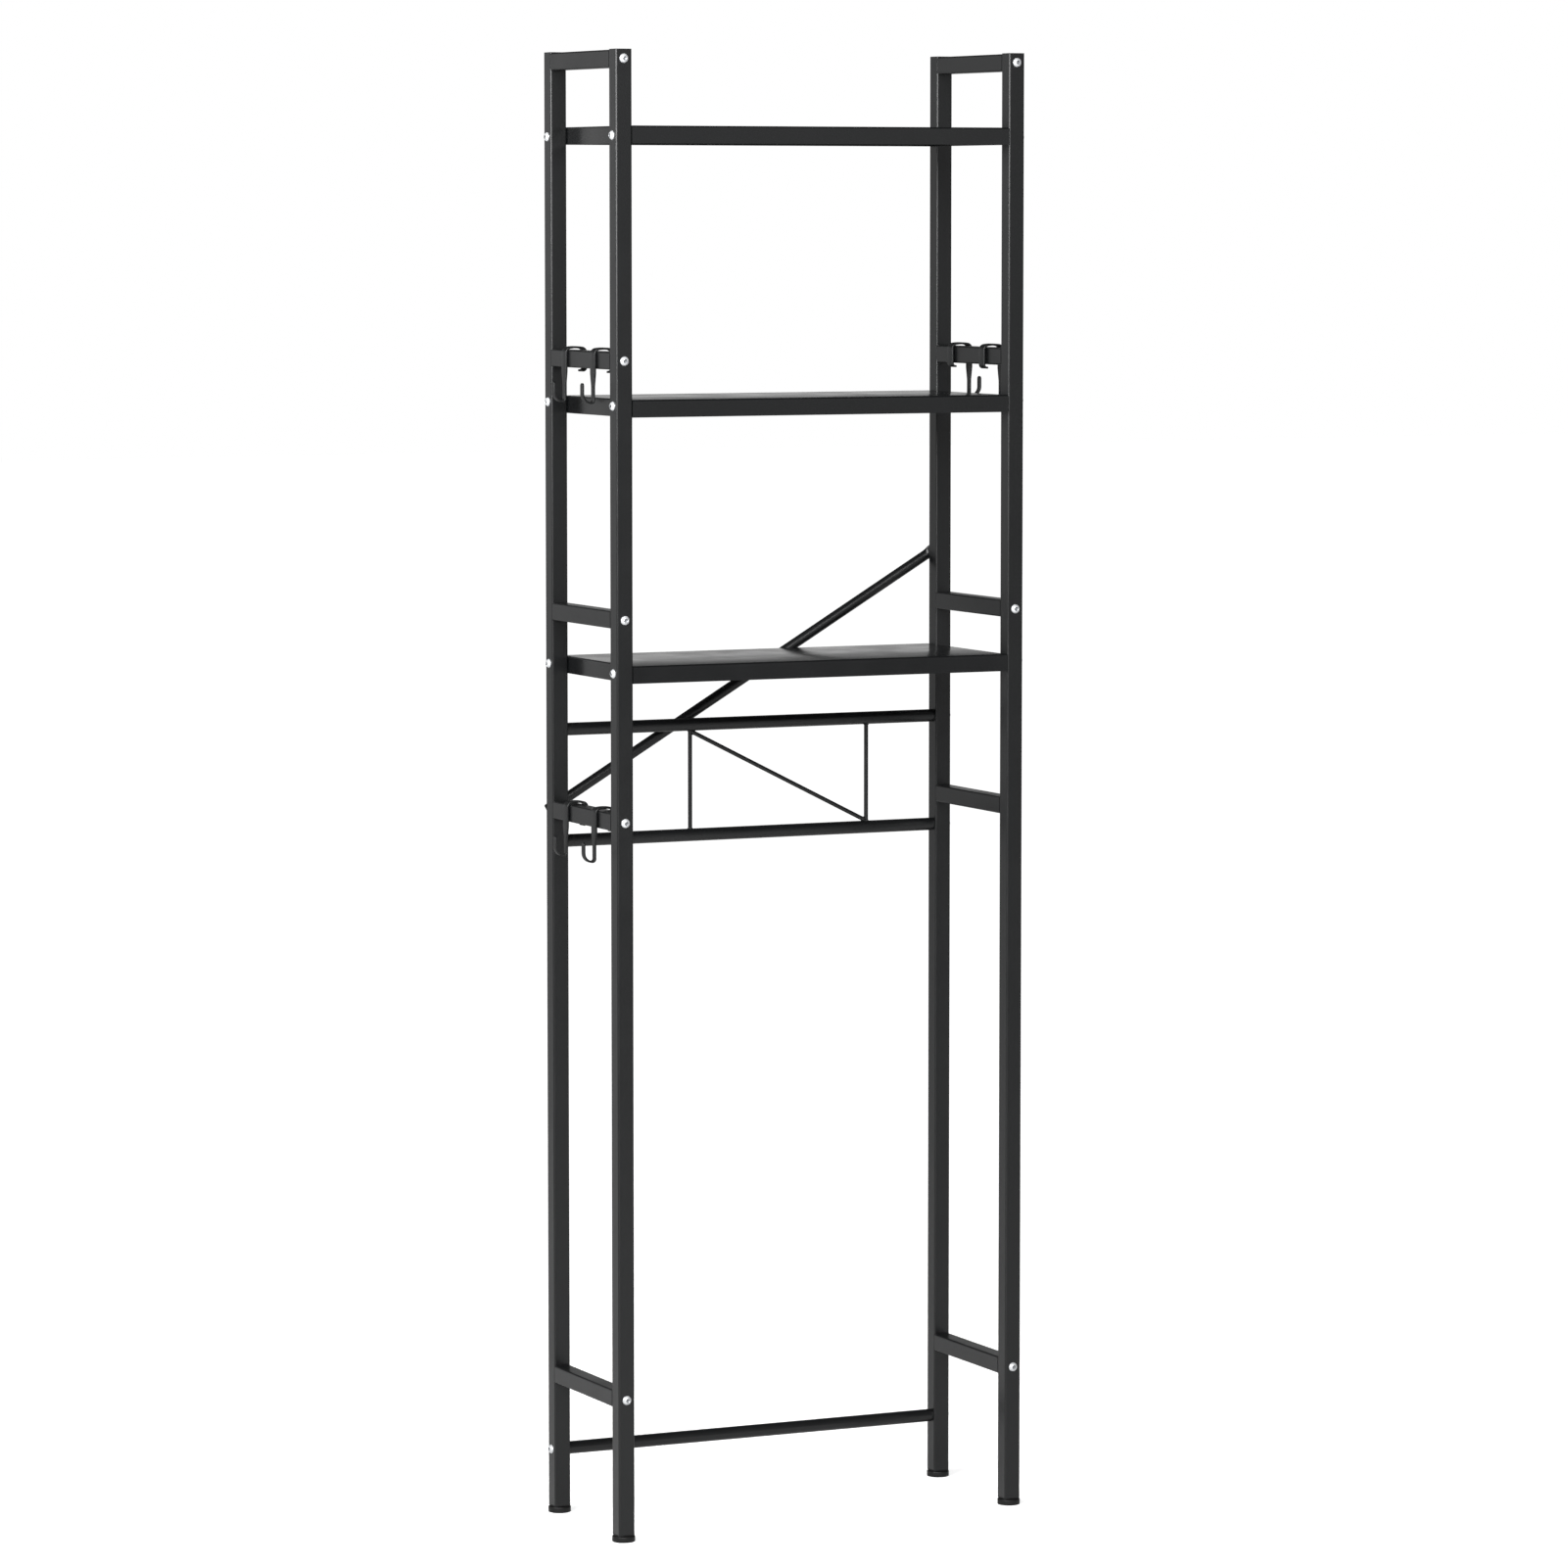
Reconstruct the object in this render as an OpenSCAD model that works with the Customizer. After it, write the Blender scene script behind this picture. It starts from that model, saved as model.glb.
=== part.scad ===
// Over the toilet storage rack: four square-tube posts joined by side rails,
// three folded sheet shelves, a rod truss and a diagonal brace at the back,
// six sliding hooks and four levelling feet. Millimetres, +Z up, the front
// faces -Y, and the origin is on the floor under the middle of the whole rack.

/* [Frame] */
// Width over the posts
rack_w = 518.5; // [440:0.5:640]
// Depth over the posts
rack_d = 206.5; // [190:0.5:300]
// Height from the floor to the top of the post caps
rack_h = 1708; // [1670:1:1900]
// Side of the square tube
tube = 20; // [19:0.5:24]
// Wall of the square tube
tube_wall = 1.2; // [0.8:0.1:1.6]
// Outside corner radius of the square tube
tube_r = 2; // [1.7:0.1:2.6]

/* [Side rails, height of each one's middle] */
// Rail under the upper hooks
hook_rail_z = 1356.5; // [1340:0.5:1420]
// Rail above the lowest shelf
middle_rail_z = 1062.5; // [1040:0.5:1100]
// Rail under the lower hooks
lower_rail_z = 831; // [830:0.5:860]
// Rail near the floor
bottom_rail_z = 165.5; // [120:0.5:300]
// Length of the threaded plug in a rail's end
rail_plug_l = 15; // [12:0.5:20]

/* [Shelves] */
// Top face of the top shelf, below the top of the rack
top_shelf_depth = 86; // [60:0.5:150]
// Top face of the middle shelf
middle_shelf_z = 1312.5; // [1290:0.5:1320]
// Top face of the lowest shelf
bottom_shelf_z = 1010; // [990:0.5:1020]
// Height of a shelf's folded edges
shelf_flange = 20; // [18:0.5:26]
// Thickness of the shelf sheet
shelf_t = 1; // [0.8:0.1:1.5]
// Outside radius of the shelf's folds
shelf_bend = 2; // [1.6:0.1:2]
// Screws of the top shelf below its top face
top_shelf_drop = 11; // [8:0.5:12]
// Screws of the middle shelf below its top face
middle_shelf_drop = 7; // [7:0.5:12]
// Screws of the lowest shelf below its top face
bottom_shelf_drop = 8.5; // [7:0.5:12]

/* [Back truss] */
// Diameter of the truss tubes and of the bar near the floor
bar_d = 15; // [12:0.5:16]
// Wall of those round tubes
bar_wall = 1.2; // [0.8:0.1:1.6]
// Axis of the upper truss tube
truss_top_z = 924; // [900:0.5:970]
// Axis of the lower truss tube
truss_bottom_z = 793.5; // [760:0.5:800]
// Axis of the bar near the floor
bottom_bar_z = 75; // [60:0.5:110]
// Diameter of the truss rods
rod_d = 5; // [4:0.5:8]
// Left rod, from the left posts' inner faces
left_rod_x = 160; // [100:1:180]
// Right rod, from the right posts' inner faces
right_rod_x = 88; // [60:1:150]

/* [Diagonal brace] */
// Diameter of the brace tube
brace_d = 12; // [10:0.5:14]
// Wall of the brace tube
brace_wall = 1; // [0.8:0.1:1.2]
// Height of its upper fixing, on the right rear post
brace_top_z = 1122; // [1090:0.5:1200]
// Length of the round-to-flat stretch at each end
brace_neck = 7; // [6:1:16]
// Length of flat from the hole to the neck
brace_flat = 6; // [6:1:12]
// Metal past the hole at each end
brace_lap = 8.5; // [7:0.5:12]

/* [Hooks] */
// Width of the hook strip over the rail
hook_w = 13; // [9:0.5:16]
// Thickness of the strip
hook_t = 2.4; // [1.6:0.1:3]
// Space left over between the hook's two legs and the rail
hook_play = 2.2; // [2:0.1:3]
// Inside radius of the two bends over the rail
hook_bend = 4.5; // [4:0.1:5]
// Inside radius of the bowed strap between them
hook_bow = 50; // [40:1:120]
// Bottom of the J below the rail's top face
hook_drop = 60; // [55:0.5:70]
// Height of the J's tip above its bottom
hook_tip_h = 24; // [20:0.5:30]
// Clear width of the J
hook_mouth = 11.2; // [10:0.1:16]
// Width of the strip in the J
hook_j_w = 7; // [5:0.5:9]
// Distance from the front post to the front hooks' middle
front_hook_y = 42; // [20:0.5:50]
// Distance from the rear post to the rear hooks' middle
rear_hook_y = 42.5; // [20:0.5:50]

/* [Feet] */
// Diameter of a foot's pad
foot_d = 26.5; // [22:0.5:30]
// Height of the pad
foot_h = 6.8; // [5:0.1:10]
// Diameter of the foot's stud
stud_d = 8; // [6:0.5:10]
// Length of the stud above the pad
stud_l = 20; // [18:0.5:30]
// Flange of the insert in a post's lower end
insert_flange = 1.5; // [1:0.1:3]
// Depth of that insert inside the post
insert_l = 16; // [14:0.5:24]
// Thickness of the top caps
cap_t = 0.8; // [0.6:0.1:1.5]
// Depth of a cap's plug inside the post
cap_plug = 5.5; // [4:0.1:6]

/* [Screws] */
// Shank diameter
screw_d = 6; // [5:0.5:6]
// Head diameter
head_d = 10.5; // [10:0.1:12]
// Head height
head_h = 3.3; // [2.6:0.1:4]
// Width across flats of the hex socket
socket_af = 4; // [3:0.5:5]
// Length of thread held in a rail, bar or brace plug
grip_l = 13; // [10:0.5:14]
// Thickness of a shelf's nut
nut_t = 5; // [4:0.5:6]
// Width across flats of that nut
nut_af = 10; // [9:0.5:11]

/* [Hidden] */
$fn = 48;
// Clearances: plug in its tube, screw in its hole, thread, stud thread, pieces that slide
plug_gap = 0.1;
hole_gap = 0.2;
thread_gap = 0.05;
slide_gap = 0.3;
// Gap that a weld fills between a rod or tube and the face it is coped to
weld_gap = 0.05;
// Gap between a foot's pad and the insert above it
foot_gap = 0.6;
// Chamfer at the tips of screws and studs, and radius of a pad's upper edge
lead = 0.6;
pad_round = 1.2;
// Screw head: straight rim under its dome, flat ring round its socket
head_rim = 0.6;
head_land = 0.4;
// Thread showing past a shelf's nut
thread_past = 2;
// Wall of a cap's hollow plug
cap_wall = 2;
// Length and wall of the brace's rivet nut
rivet_nut_l = 12;
rivet_nut_wall = 1.5;
// How far a cut runs past the face that it opens
over = 1;

LEFT = -1;
RIGHT = 1;
FRONT = 0;
REAR = 1;

powder_black = "#2b2c2e";
moulded_black = "#1d1e1f";
zinc = "#c9cccf";

// Places across the rack, from its middle, and along its depth, from the posts' front faces
post_x = rack_w / 2 - tube / 2;
inner_x = rack_w / 2 - tube;
rear_y = rack_d - tube / 2;
bar_y = rear_y;
tube_in = tube - 2 * tube_wall;
tube_in_r = max(tube_r - tube_wall, 0.3);
plug_w = tube_in - 2 * plug_gap;
post_base_z = foot_h + foot_gap + insert_flange;
post_top_z = rack_h - cap_t;
rail_l = rack_d - 2 * tube;
bar_l = 2 * inner_x;

// Heights of the five rails of a side and of the three shelves, from the top down
top_rail_z = post_top_z - tube / 2;
rail_z = [top_rail_z, hook_rail_z, middle_rail_z, lower_rail_z, bottom_rail_z];
top_shelf_z = rack_h - top_shelf_depth;
shelf_z = [top_shelf_z, middle_shelf_z, bottom_shelf_z];
shelf_drop = [top_shelf_drop, middle_shelf_drop, bottom_shelf_drop];
// The rails that screws hold on each side: the right hook rail and lower rail are welded
left_screwed = [0, 1, 2, 3, 4];
right_screwed = [0, 2, 4];
// The left lower rail's rear screw also holds the brace, so it is one of the brace's screws
brace_rail = 3;

// The brace lies on the rear posts' rear faces, its tube just clear of the shelves
brace_tab_t = 2 * brace_wall;
brace_tab_w = brace_d * PI / 2;
brace_run = 2 * post_x;
brace_rise = brace_top_z - lower_rail_z;
brace_l = sqrt(brace_run * brace_run + brace_rise * brace_rise);
brace_angle = atan(brace_rise / brace_run);
brace_y = slide_gap + brace_d / 2;
// Where the round tube begins, and the thin slices that the round-to-flat stretch blends
brace_far = brace_flat + brace_neck;
brace_skin = 0.1;
// Rounding of the tab's two sawn corners
brace_ease = 0.8;

// Screw lengths under the head
rail_screw_l = tube + grip_l;
shelf_screw_l = tube + shelf_t + nut_t + thread_past;
rivet_nut_d = screw_d + 2 * rivet_nut_wall;

// The hook strip, from the rail's outer top edge: out is +u and up is +z.
// Its outer bend rests on the rail's rounded edge, slide_gap away.
hook_out_gap = 2 * slide_gap;
bend_reach = hook_bend - tube_r - slide_gap;
bend_side = hook_bend - tube_r - hook_out_gap;
bend_z = -tube_r - sqrt(max(0, bend_reach * bend_reach - bend_side * bend_side));
hook_window = tube + hook_play;
half_window = hook_window / 2;
bow_sweep = asin((half_window - hook_bend) / (hook_bow - hook_bend));
hook_mid_u = hook_out_gap - half_window;
// The J's two inside radii: tight at the leg, wide at the tip
j_small_r = 2;
j_large_r = hook_mouth - j_small_r;
// The curl under the rail: inside radius, gap below the rail, straight lip
curl_r = 2.4;
curl_gap = 2.6;
curl_lip = 1.4;
// The strip narrows over taper_l, from just below the curl
taper_l = 15;
taper_start = -tube - curl_gap - hook_t;

// The middle of the whole rack's depth, from the screw heads or feet to the brace tube
origin_y = (rack_d + slide_gap + brace_d - max(head_h, (foot_d - tube) / 2)) / 2;

function post_y(row) = row == FRONT ? tube / 2 : rear_y;
function screwed(side) = side == LEFT ? left_screwed : right_screwed;
// Heights where a rear post takes screws along X, for the bars between the rear posts
function bar_heights(side) = side == LEFT ? [bottom_bar_z] : [bottom_bar_z, truss_top_z, truss_bottom_z];

// ---- Shapes that repeat ----

module round_rect(x, y, r) {
    square([x - 2 * r, y], center = true);
    square([x, y - 2 * r], center = true);
    for (i = [-1, 1], j = [-1, 1])
        translate([i * (x / 2 - r), j * (y / 2 - r)]) circle(r);
}

// A square tube standing on its lower end
module square_tube(l) {
    difference() {
        linear_extrude(l) round_rect(tube, tube, tube_r);
        translate([0, 0, -over]) linear_extrude(l + 2 * over)
            round_rect(tube_in, tube_in, tube_in_r);
    }
}

module square_plug(l, bore) {
    difference() {
        linear_extrude(l) round_rect(plug_w, plug_w, tube_in_r);
        translate([0, 0, -over]) cylinder(d = bore, h = l + 2 * over);
    }
}

module round_plug(l) {
    difference() {
        cylinder(d = bar_d - 2 * bar_wall - 2 * plug_gap, h = l);
        translate([0, 0, -over]) cylinder(d = screw_d + 2 * thread_gap, h = l + 2 * over);
    }
}

// Turns +Z to the outward direction of a face, so a screw's head stands on it
module facing_side(side) {
    rotate([0, side * 90, 0]) children();
}

module facing_row(row) {
    rotate([row == FRONT ? 90 : -90, 0, 0]) children();
}

// Places children on the row of fixings of one post, in the middle of its face
module at_post(side, row, z) {
    translate([side * post_x, post_y(row), z]) children();
}

// The whole rack is drawn from the posts' front faces and set on its origin here
module placed() {
    translate([0, -origin_y, 0]) children();
}

// A button-head screw: the head above z = 0, the shank below
module screw(l) {
    land_r = socket_af / 2 / cos(30) + head_land;
    dome_z = (land_r * land_r + head_h * head_h - head_d * head_d / 4 - head_rim * head_rim)
        / (2 * (head_h - head_rim));
    color(zinc) difference() {
        union() {
            intersection() {
                cylinder(d = head_d, h = head_h);
                translate([0, 0, dome_z])
                    sphere(sqrt(land_r * land_r + (head_h - dome_z) * (head_h - dome_z)));
            }
            translate([0, 0, lead - l]) cylinder(d = screw_d, h = l);
            translate([0, 0, -l]) cylinder(d1 = screw_d - 2 * lead, d2 = screw_d, h = lead);
        }
        translate([0, 0, head_h - socket_af / 2])
            cylinder(d = socket_af / cos(30), h = head_h, $fn = 6);
    }
}

// ---- Posts, caps and rails ----

module hole_along_y() {
    rotate([90, 0, 0]) cylinder(d = screw_d + 2 * hole_gap, h = tube + 2 * over, center = true);
}

module hole_along_x() {
    rotate([0, 90, 0]) cylinder(d = screw_d + 2 * hole_gap, h = tube + 2 * over, center = true);
}

module post(side, row) {
    color(powder_black) placed() difference() {
        at_post(side, row, post_base_z) square_tube(post_top_z - post_base_z);
        for (i = screwed(side)) at_post(side, row, rail_z[i]) hole_along_y();
        for (i = [0:len(shelf_z) - 1])
            at_post(side, row, shelf_z[i] - shelf_drop[i]) hole_along_x();
        if (row == REAR)
            for (z = bar_heights(side)) at_post(side, row, z) hole_along_x();
        if (row == REAR && side == RIGHT)
            at_post(side, row, brace_top_z) rotate([-90, 0, 0])
                cylinder(d = rivet_nut_d + 2 * plug_gap, h = tube);
    }
}

module cap(side, row) {
    color(moulded_black) placed() at_post(side, row, post_top_z) {
        difference() {
            union() {
                linear_extrude(cap_t) round_rect(tube, tube, tube_r);
                translate([0, 0, -cap_plug]) linear_extrude(cap_plug)
                    round_rect(plug_w, plug_w, tube_in_r);
            }
            translate([0, 0, -cap_plug - over]) linear_extrude(cap_plug)
                round_rect(plug_w - 2 * cap_wall, plug_w - 2 * cap_wall, tube_in_r);
        }
    }
}

module rail(side, i) {
    color(powder_black) placed()
        translate([side * post_x, tube, rail_z[i]]) rotate([-90, 0, 0]) square_tube(rail_l);
}

// Threaded plugs in both ends of each screwed rail
module rail_plugs(side) {
    color(moulded_black) placed()
        for (i = screwed(side), row = [FRONT, REAR])
            translate([side * post_x, row == FRONT ? tube : rack_d - tube, rail_z[i]])
                rotate([row == FRONT ? -90 : 90, 0, 0])
                    square_plug(rail_plug_l, screw_d + 2 * thread_gap);
}

// ---- Shelves ----

// A block with its four upper edges rounded, standing on z = 0
module folded_block(x, y, z, r) {
    intersection() {
        rotate([90, 0, 0]) linear_extrude(y, center = true) round_top(x, z, r);
        rotate([90, 0, 90]) linear_extrude(x, center = true) round_top(y, z, r);
    }
}

module round_top(w, h, r) {
    translate([-w / 2, 0]) square([w, h - r]);
    translate([-w / 2 + r, 0]) square([w - 2 * r, h]);
    for (i = [-1, 1]) translate([i * (w / 2 - r), h - r]) circle(r);
}

module shelf(i) {
    inner_r = shelf_bend - shelf_t;
    color(powder_black) placed()
        translate([0, rack_d / 2, shelf_z[i] - shelf_flange]) difference() {
            folded_block(bar_l, rack_d, shelf_flange, shelf_bend);
            translate([0, 0, -over]) folded_block(bar_l - 2 * shelf_t, rack_d - 2 * shelf_t,
                shelf_flange - shelf_t + over, inner_r);
            for (y = [post_y(FRONT), post_y(REAR)])
                translate([0, y - rack_d / 2, shelf_flange - shelf_drop[i]]) rotate([0, 90, 0])
                    cylinder(d = screw_d + 2 * hole_gap, h = bar_l + 2 * over, center = true);
        }
}

// Nuts welded inside the shelves' side flanges
module shelf_nuts() {
    color(zinc) placed()
        for (i = [0:len(shelf_z) - 1], side = [LEFT, RIGHT], row = [FRONT, REAR])
            translate([side * (inner_x - shelf_t), post_y(row), shelf_z[i] - shelf_drop[i]])
                rotate([0, -side * 90, 0]) difference() {
                    rotate(30) cylinder(d = nut_af / cos(30), h = nut_t, $fn = 6);
                    translate([0, 0, -over])
                        cylinder(d = screw_d + 2 * thread_gap, h = nut_t + 2 * over);
                }
}

// ---- Bars and rods at the back ----

module bar(z) {
    color(powder_black) placed() translate([0, bar_y, z]) rotate([0, 90, 0]) difference() {
        cylinder(d = bar_d, h = bar_l, center = true);
        cylinder(d = bar_d - 2 * bar_wall, h = bar_l + 2 * over, center = true);
    }
}

module bar_core(z, gap) {
    translate([0, bar_y, z]) rotate([0, 90, 0])
        cylinder(d = bar_d + 2 * gap, h = bar_l, center = true);
}

module upright_rod(x, gap) {
    translate([x, bar_y, truss_bottom_z])
        cylinder(d = rod_d + 2 * gap, h = truss_top_z - truss_bottom_z);
}

left_rod_at = left_rod_x - inner_x;
right_rod_at = inner_x - right_rod_x;

// An upright rod, coped to the two tubes that it is welded between
module truss_rod(x) {
    color(powder_black) placed() difference() {
        upright_rod(x, 0);
        bar_core(truss_top_z, weld_gap);
        bar_core(truss_bottom_z, weld_gap);
    }
}

// The slanted rod, from the head of the left rod to the foot of the right one
module diagonal_rod() {
    run = right_rod_at - left_rod_at;
    fall = truss_top_z - truss_bottom_z - bar_d;
    color(powder_black) placed() difference() {
        translate([left_rod_at, bar_y, truss_top_z - bar_d / 2])
            rotate([0, 90 + atan(fall / run), 0])
                cylinder(d = rod_d, h = sqrt(run * run + fall * fall));
        upright_rod(left_rod_at, weld_gap);
        upright_rod(right_rod_at, weld_gap);
        bar_core(truss_top_z, weld_gap);
        bar_core(truss_bottom_z, weld_gap);
    }
}

module bar_plugs(heights, sides) {
    color(moulded_black) placed() for (z = heights, side = sides)
        translate([side * inner_x, bar_y, z]) rotate([0, -side * 90, 0]) round_plug(rail_plug_l);
}

// ---- Diagonal brace ----

// One end of the brace along +X, its hole at the origin, lying on y = 0
module brace_end() {
    difference() {
        union() {
            rotate([-90, 0, 0]) linear_extrude(brace_tab_t) hull() {
                for (side = [-1, 1])
                    translate([brace_ease - brace_lap, side * (brace_tab_w / 2 - brace_ease)])
                        circle(brace_ease);
                translate([0, -brace_tab_w / 2]) square([brace_flat, brace_tab_w]);
            }
            hull() {
                translate([brace_flat - brace_skin, 0, -brace_tab_w / 2])
                    cube([brace_skin, brace_tab_t, brace_tab_w]);
                translate([brace_far, brace_y, 0]) rotate([0, 90, 0])
                    cylinder(d = brace_d, h = brace_skin, $fn = 32);
            }
        }
        rotate([-90, 0, 0]) translate([0, 0, -over])
            cylinder(d = screw_d + 2 * hole_gap, h = brace_tab_t + 2 * over);
    }
}

module diagonal_brace() {
    round_l = brace_l - 2 * brace_far;
    color(powder_black) placed() translate([-post_x, rack_d, lower_rail_z])
        rotate([0, -brace_angle, 0]) {
            brace_end();
            translate([brace_l, 0, 0]) mirror([1, 0, 0]) brace_end();
            translate([brace_far, brace_y, 0]) rotate([0, 90, 0]) difference() {
                cylinder(d = brace_d, h = round_l);
                translate([0, 0, brace_wall])
                    cylinder(d = brace_d - 2 * brace_wall, h = round_l - 2 * brace_wall);
            }
        }
}

// Sleeve nut set flush in the right rear post's rear wall
module brace_rivet_nut() {
    color(zinc) placed() at_post(RIGHT, REAR, brace_top_z)
        translate([0, tube / 2 - rivet_nut_l, 0]) rotate([-90, 0, 0]) difference() {
            cylinder(d = rivet_nut_d, h = rivet_nut_l);
            translate([0, 0, -over])
                cylinder(d = screw_d + 2 * thread_gap, h = rivet_nut_l + 2 * over);
        }
}

// ---- Screws ----

module rail_screws(side, row, rails) {
    placed() for (i = rails)
        translate([side * post_x, row == FRONT ? 0 : rack_d, rail_z[i]])
            facing_row(row) screw(rail_screw_l);
}

module shelf_screws(side) {
    placed() for (i = [0:len(shelf_z) - 1], row = [FRONT, REAR])
        translate([side * rack_w / 2, post_y(row), shelf_z[i] - shelf_drop[i]])
            facing_side(side) screw(shelf_screw_l);
}

module bar_screws(heights, sides) {
    placed() for (z = heights, side = sides)
        translate([side * rack_w / 2, bar_y, z]) facing_side(side) screw(rail_screw_l);
}

module brace_screws() {
    placed() {
        translate([-post_x, rack_d + brace_tab_t, lower_rail_z])
            facing_row(REAR) screw(rail_screw_l + brace_tab_t);
        translate([post_x, rack_d + brace_tab_t, brace_top_z])
            facing_row(REAR) screw(brace_tab_t + rivet_nut_l);
    }
}

// ---- Hooks ----

// Points on an arc about c, from angle a0 to a1
function arc(c, r, a0, a1, n) =
    [for (k = [0:n]) c + r * [cos(a0 + (a1 - a0) * k / n), sin(a0 + (a1 - a0) * k / n)]];

// The strip's outline, first along its inner side and back along its outer side.
// d is 0 on the side that faces the rail and hook_t on the other.
function strip_side(d) =
    let (
        in_u = hook_out_gap - hook_window,
        foot_z = -tube - curl_gap + curl_r,
        bow_z = bend_z - (hook_bow - hook_bend) * cos(bow_sweep),
        floor_z = -hook_drop + hook_t,
        tip_z = -hook_drop + hook_tip_h,
        j_side = hook_out_gap + hook_t
    ) concat(
        [[in_u + curl_r + curl_lip, foot_z - curl_r - d]],
        arc([in_u + curl_r, foot_z], curl_r + d, 270, 180, 8),
        arc([in_u + hook_bend, bend_z], hook_bend + d, 180, 90 + bow_sweep, 8),
        arc([hook_mid_u, bow_z], hook_bow + d, 90 + bow_sweep, 90 - bow_sweep, 12),
        arc([hook_out_gap - hook_bend, bend_z], hook_bend + d, 90 - bow_sweep, 0, 8),
        arc([j_side + j_small_r, floor_z + j_small_r], j_small_r + hook_t - d, 180, 270, 8),
        arc([j_side + j_small_r, floor_z + j_large_r], j_large_r + hook_t - d, 270, 360, 12),
        [[j_side + hook_mouth + hook_t - d, tip_z]]
    );

function reversed(list) = [for (k = [len(list) - 1:-1:0]) list[k]];

module hook_strip() {
    rotate([90, 0, 0]) linear_extrude(hook_w, center = true)
        polygon(concat(strip_side(0), reversed(strip_side(hook_t))));
}

// The strip's width seen from the side: full over the rail, narrow in the J
module hook_width() {
    above = 2 * hook_t + hook_bend;
    reach = hook_window + hook_mouth + 4 * hook_t;
    rotate([90, 0, 90]) linear_extrude(2 * reach, center = true) polygon([
        [-hook_w / 2, above], [-hook_w / 2, taper_start],
        [-hook_j_w / 2, taper_start - taper_l], [-hook_j_w / 2, -hook_drop - over],
        [hook_j_w / 2, -hook_drop - over], [hook_j_w / 2, taper_start - taper_l],
        [hook_w / 2, taper_start], [hook_w / 2, above]
    ]);
}

// What is cut off to round the tip of the J
module hook_tip_cut() {
    r = hook_j_w / 2;
    tip_u = hook_out_gap + hook_t + hook_mouth;
    translate([tip_u - over, 0, hook_tip_h - hook_drop - r]) rotate([0, 90, 0]) difference() {
        translate([-r - over, -r - over, 0])
            cube([r + over, 2 * (r + over), hook_t + 2 * over]);
        translate([0, 0, -over]) cylinder(r = r, h = hook_t + 4 * over);
    }
}

module hook(side, z, y) {
    color(powder_black) placed() translate([side * rack_w / 2, y, z + tube / 2])
        mirror([side == LEFT ? 1 : 0, 0, 0]) difference() {
            intersection() {
                hook_strip();
                hook_width();
            }
            hook_tip_cut();
        }
}

hooks_front = tube + front_hook_y;
hooks_rear = rack_d - tube - rear_hook_y;

// ---- Feet ----

module foot(side, row) {
    color(moulded_black) placed() at_post(side, row, 0) rotate_extrude() {
        square([foot_d / 2 - pad_round, foot_h]);
        square([foot_d / 2, foot_h - pad_round]);
        translate([foot_d / 2 - pad_round, foot_h - pad_round]) circle(pad_round);
        square([stud_d / 2, foot_h + stud_l - lead]);
        square([stud_d / 2 - lead, foot_h + stud_l]);
    }
}

module foot_insert(side, row) {
    color(moulded_black) placed() at_post(side, row, post_base_z) difference() {
        union() {
            translate([0, 0, -insert_flange]) linear_extrude(insert_flange)
                round_rect(tube, tube, tube_r);
            linear_extrude(insert_l) round_rect(plug_w, plug_w, tube_in_r);
        }
        translate([0, 0, -insert_flange - over])
            cylinder(d = stud_d + 2 * thread_gap, h = insert_l + insert_flange + 2 * over);
    }
}

post(LEFT, FRONT);  // left_front_post
post(LEFT, REAR);  // left_rear_post
post(RIGHT, FRONT);  // right_front_post
post(RIGHT, REAR);  // right_rear_post
cap(LEFT, FRONT);  // left_front_cap
cap(LEFT, REAR);  // left_rear_cap
cap(RIGHT, FRONT);  // right_front_cap
cap(RIGHT, REAR);  // right_rear_cap
rail(LEFT, 0);  // left_top_rail
rail(LEFT, 1);  // left_hook_rail
rail(LEFT, 2);  // left_middle_rail
rail(LEFT, 3);  // left_lower_rail
rail(LEFT, 4);  // left_bottom_rail
rail(RIGHT, 0);  // right_top_rail
rail(RIGHT, 1);  // right_hook_rail
rail(RIGHT, 2);  // right_middle_rail
rail(RIGHT, 3);  // right_lower_rail
rail(RIGHT, 4);  // right_bottom_rail
shelf(0);  // top_shelf
shelf(1);  // middle_shelf
shelf(2);  // bottom_shelf
bar(truss_top_z);  // truss_top_tube
bar(truss_bottom_z);  // truss_bottom_tube
truss_rod(left_rod_at);  // truss_left_rod
truss_rod(right_rod_at);  // truss_right_rod
diagonal_rod();  // truss_diagonal_rod
bar(bottom_bar_z);  // rear_bottom_bar
diagonal_brace();
hook(LEFT, hook_rail_z, hooks_front);  // left_upper_front_hook
hook(LEFT, hook_rail_z, hooks_rear);  // left_upper_rear_hook
hook(LEFT, lower_rail_z, hooks_front);  // left_lower_front_hook
hook(LEFT, lower_rail_z, hooks_rear);  // left_lower_rear_hook
hook(RIGHT, hook_rail_z, hooks_front);  // right_upper_front_hook
hook(RIGHT, hook_rail_z, hooks_rear);  // right_upper_rear_hook
foot(LEFT, FRONT);  // left_front_foot
foot(LEFT, REAR);  // left_rear_foot
foot(RIGHT, FRONT);  // right_front_foot
foot(RIGHT, REAR);  // right_rear_foot
foot_insert(LEFT, FRONT);  // left_front_insert
foot_insert(LEFT, REAR);  // left_rear_insert
foot_insert(RIGHT, FRONT);  // right_front_insert
foot_insert(RIGHT, REAR);  // right_rear_insert
rail_screws(LEFT, FRONT, left_screwed);  // left_front_screws
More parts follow.
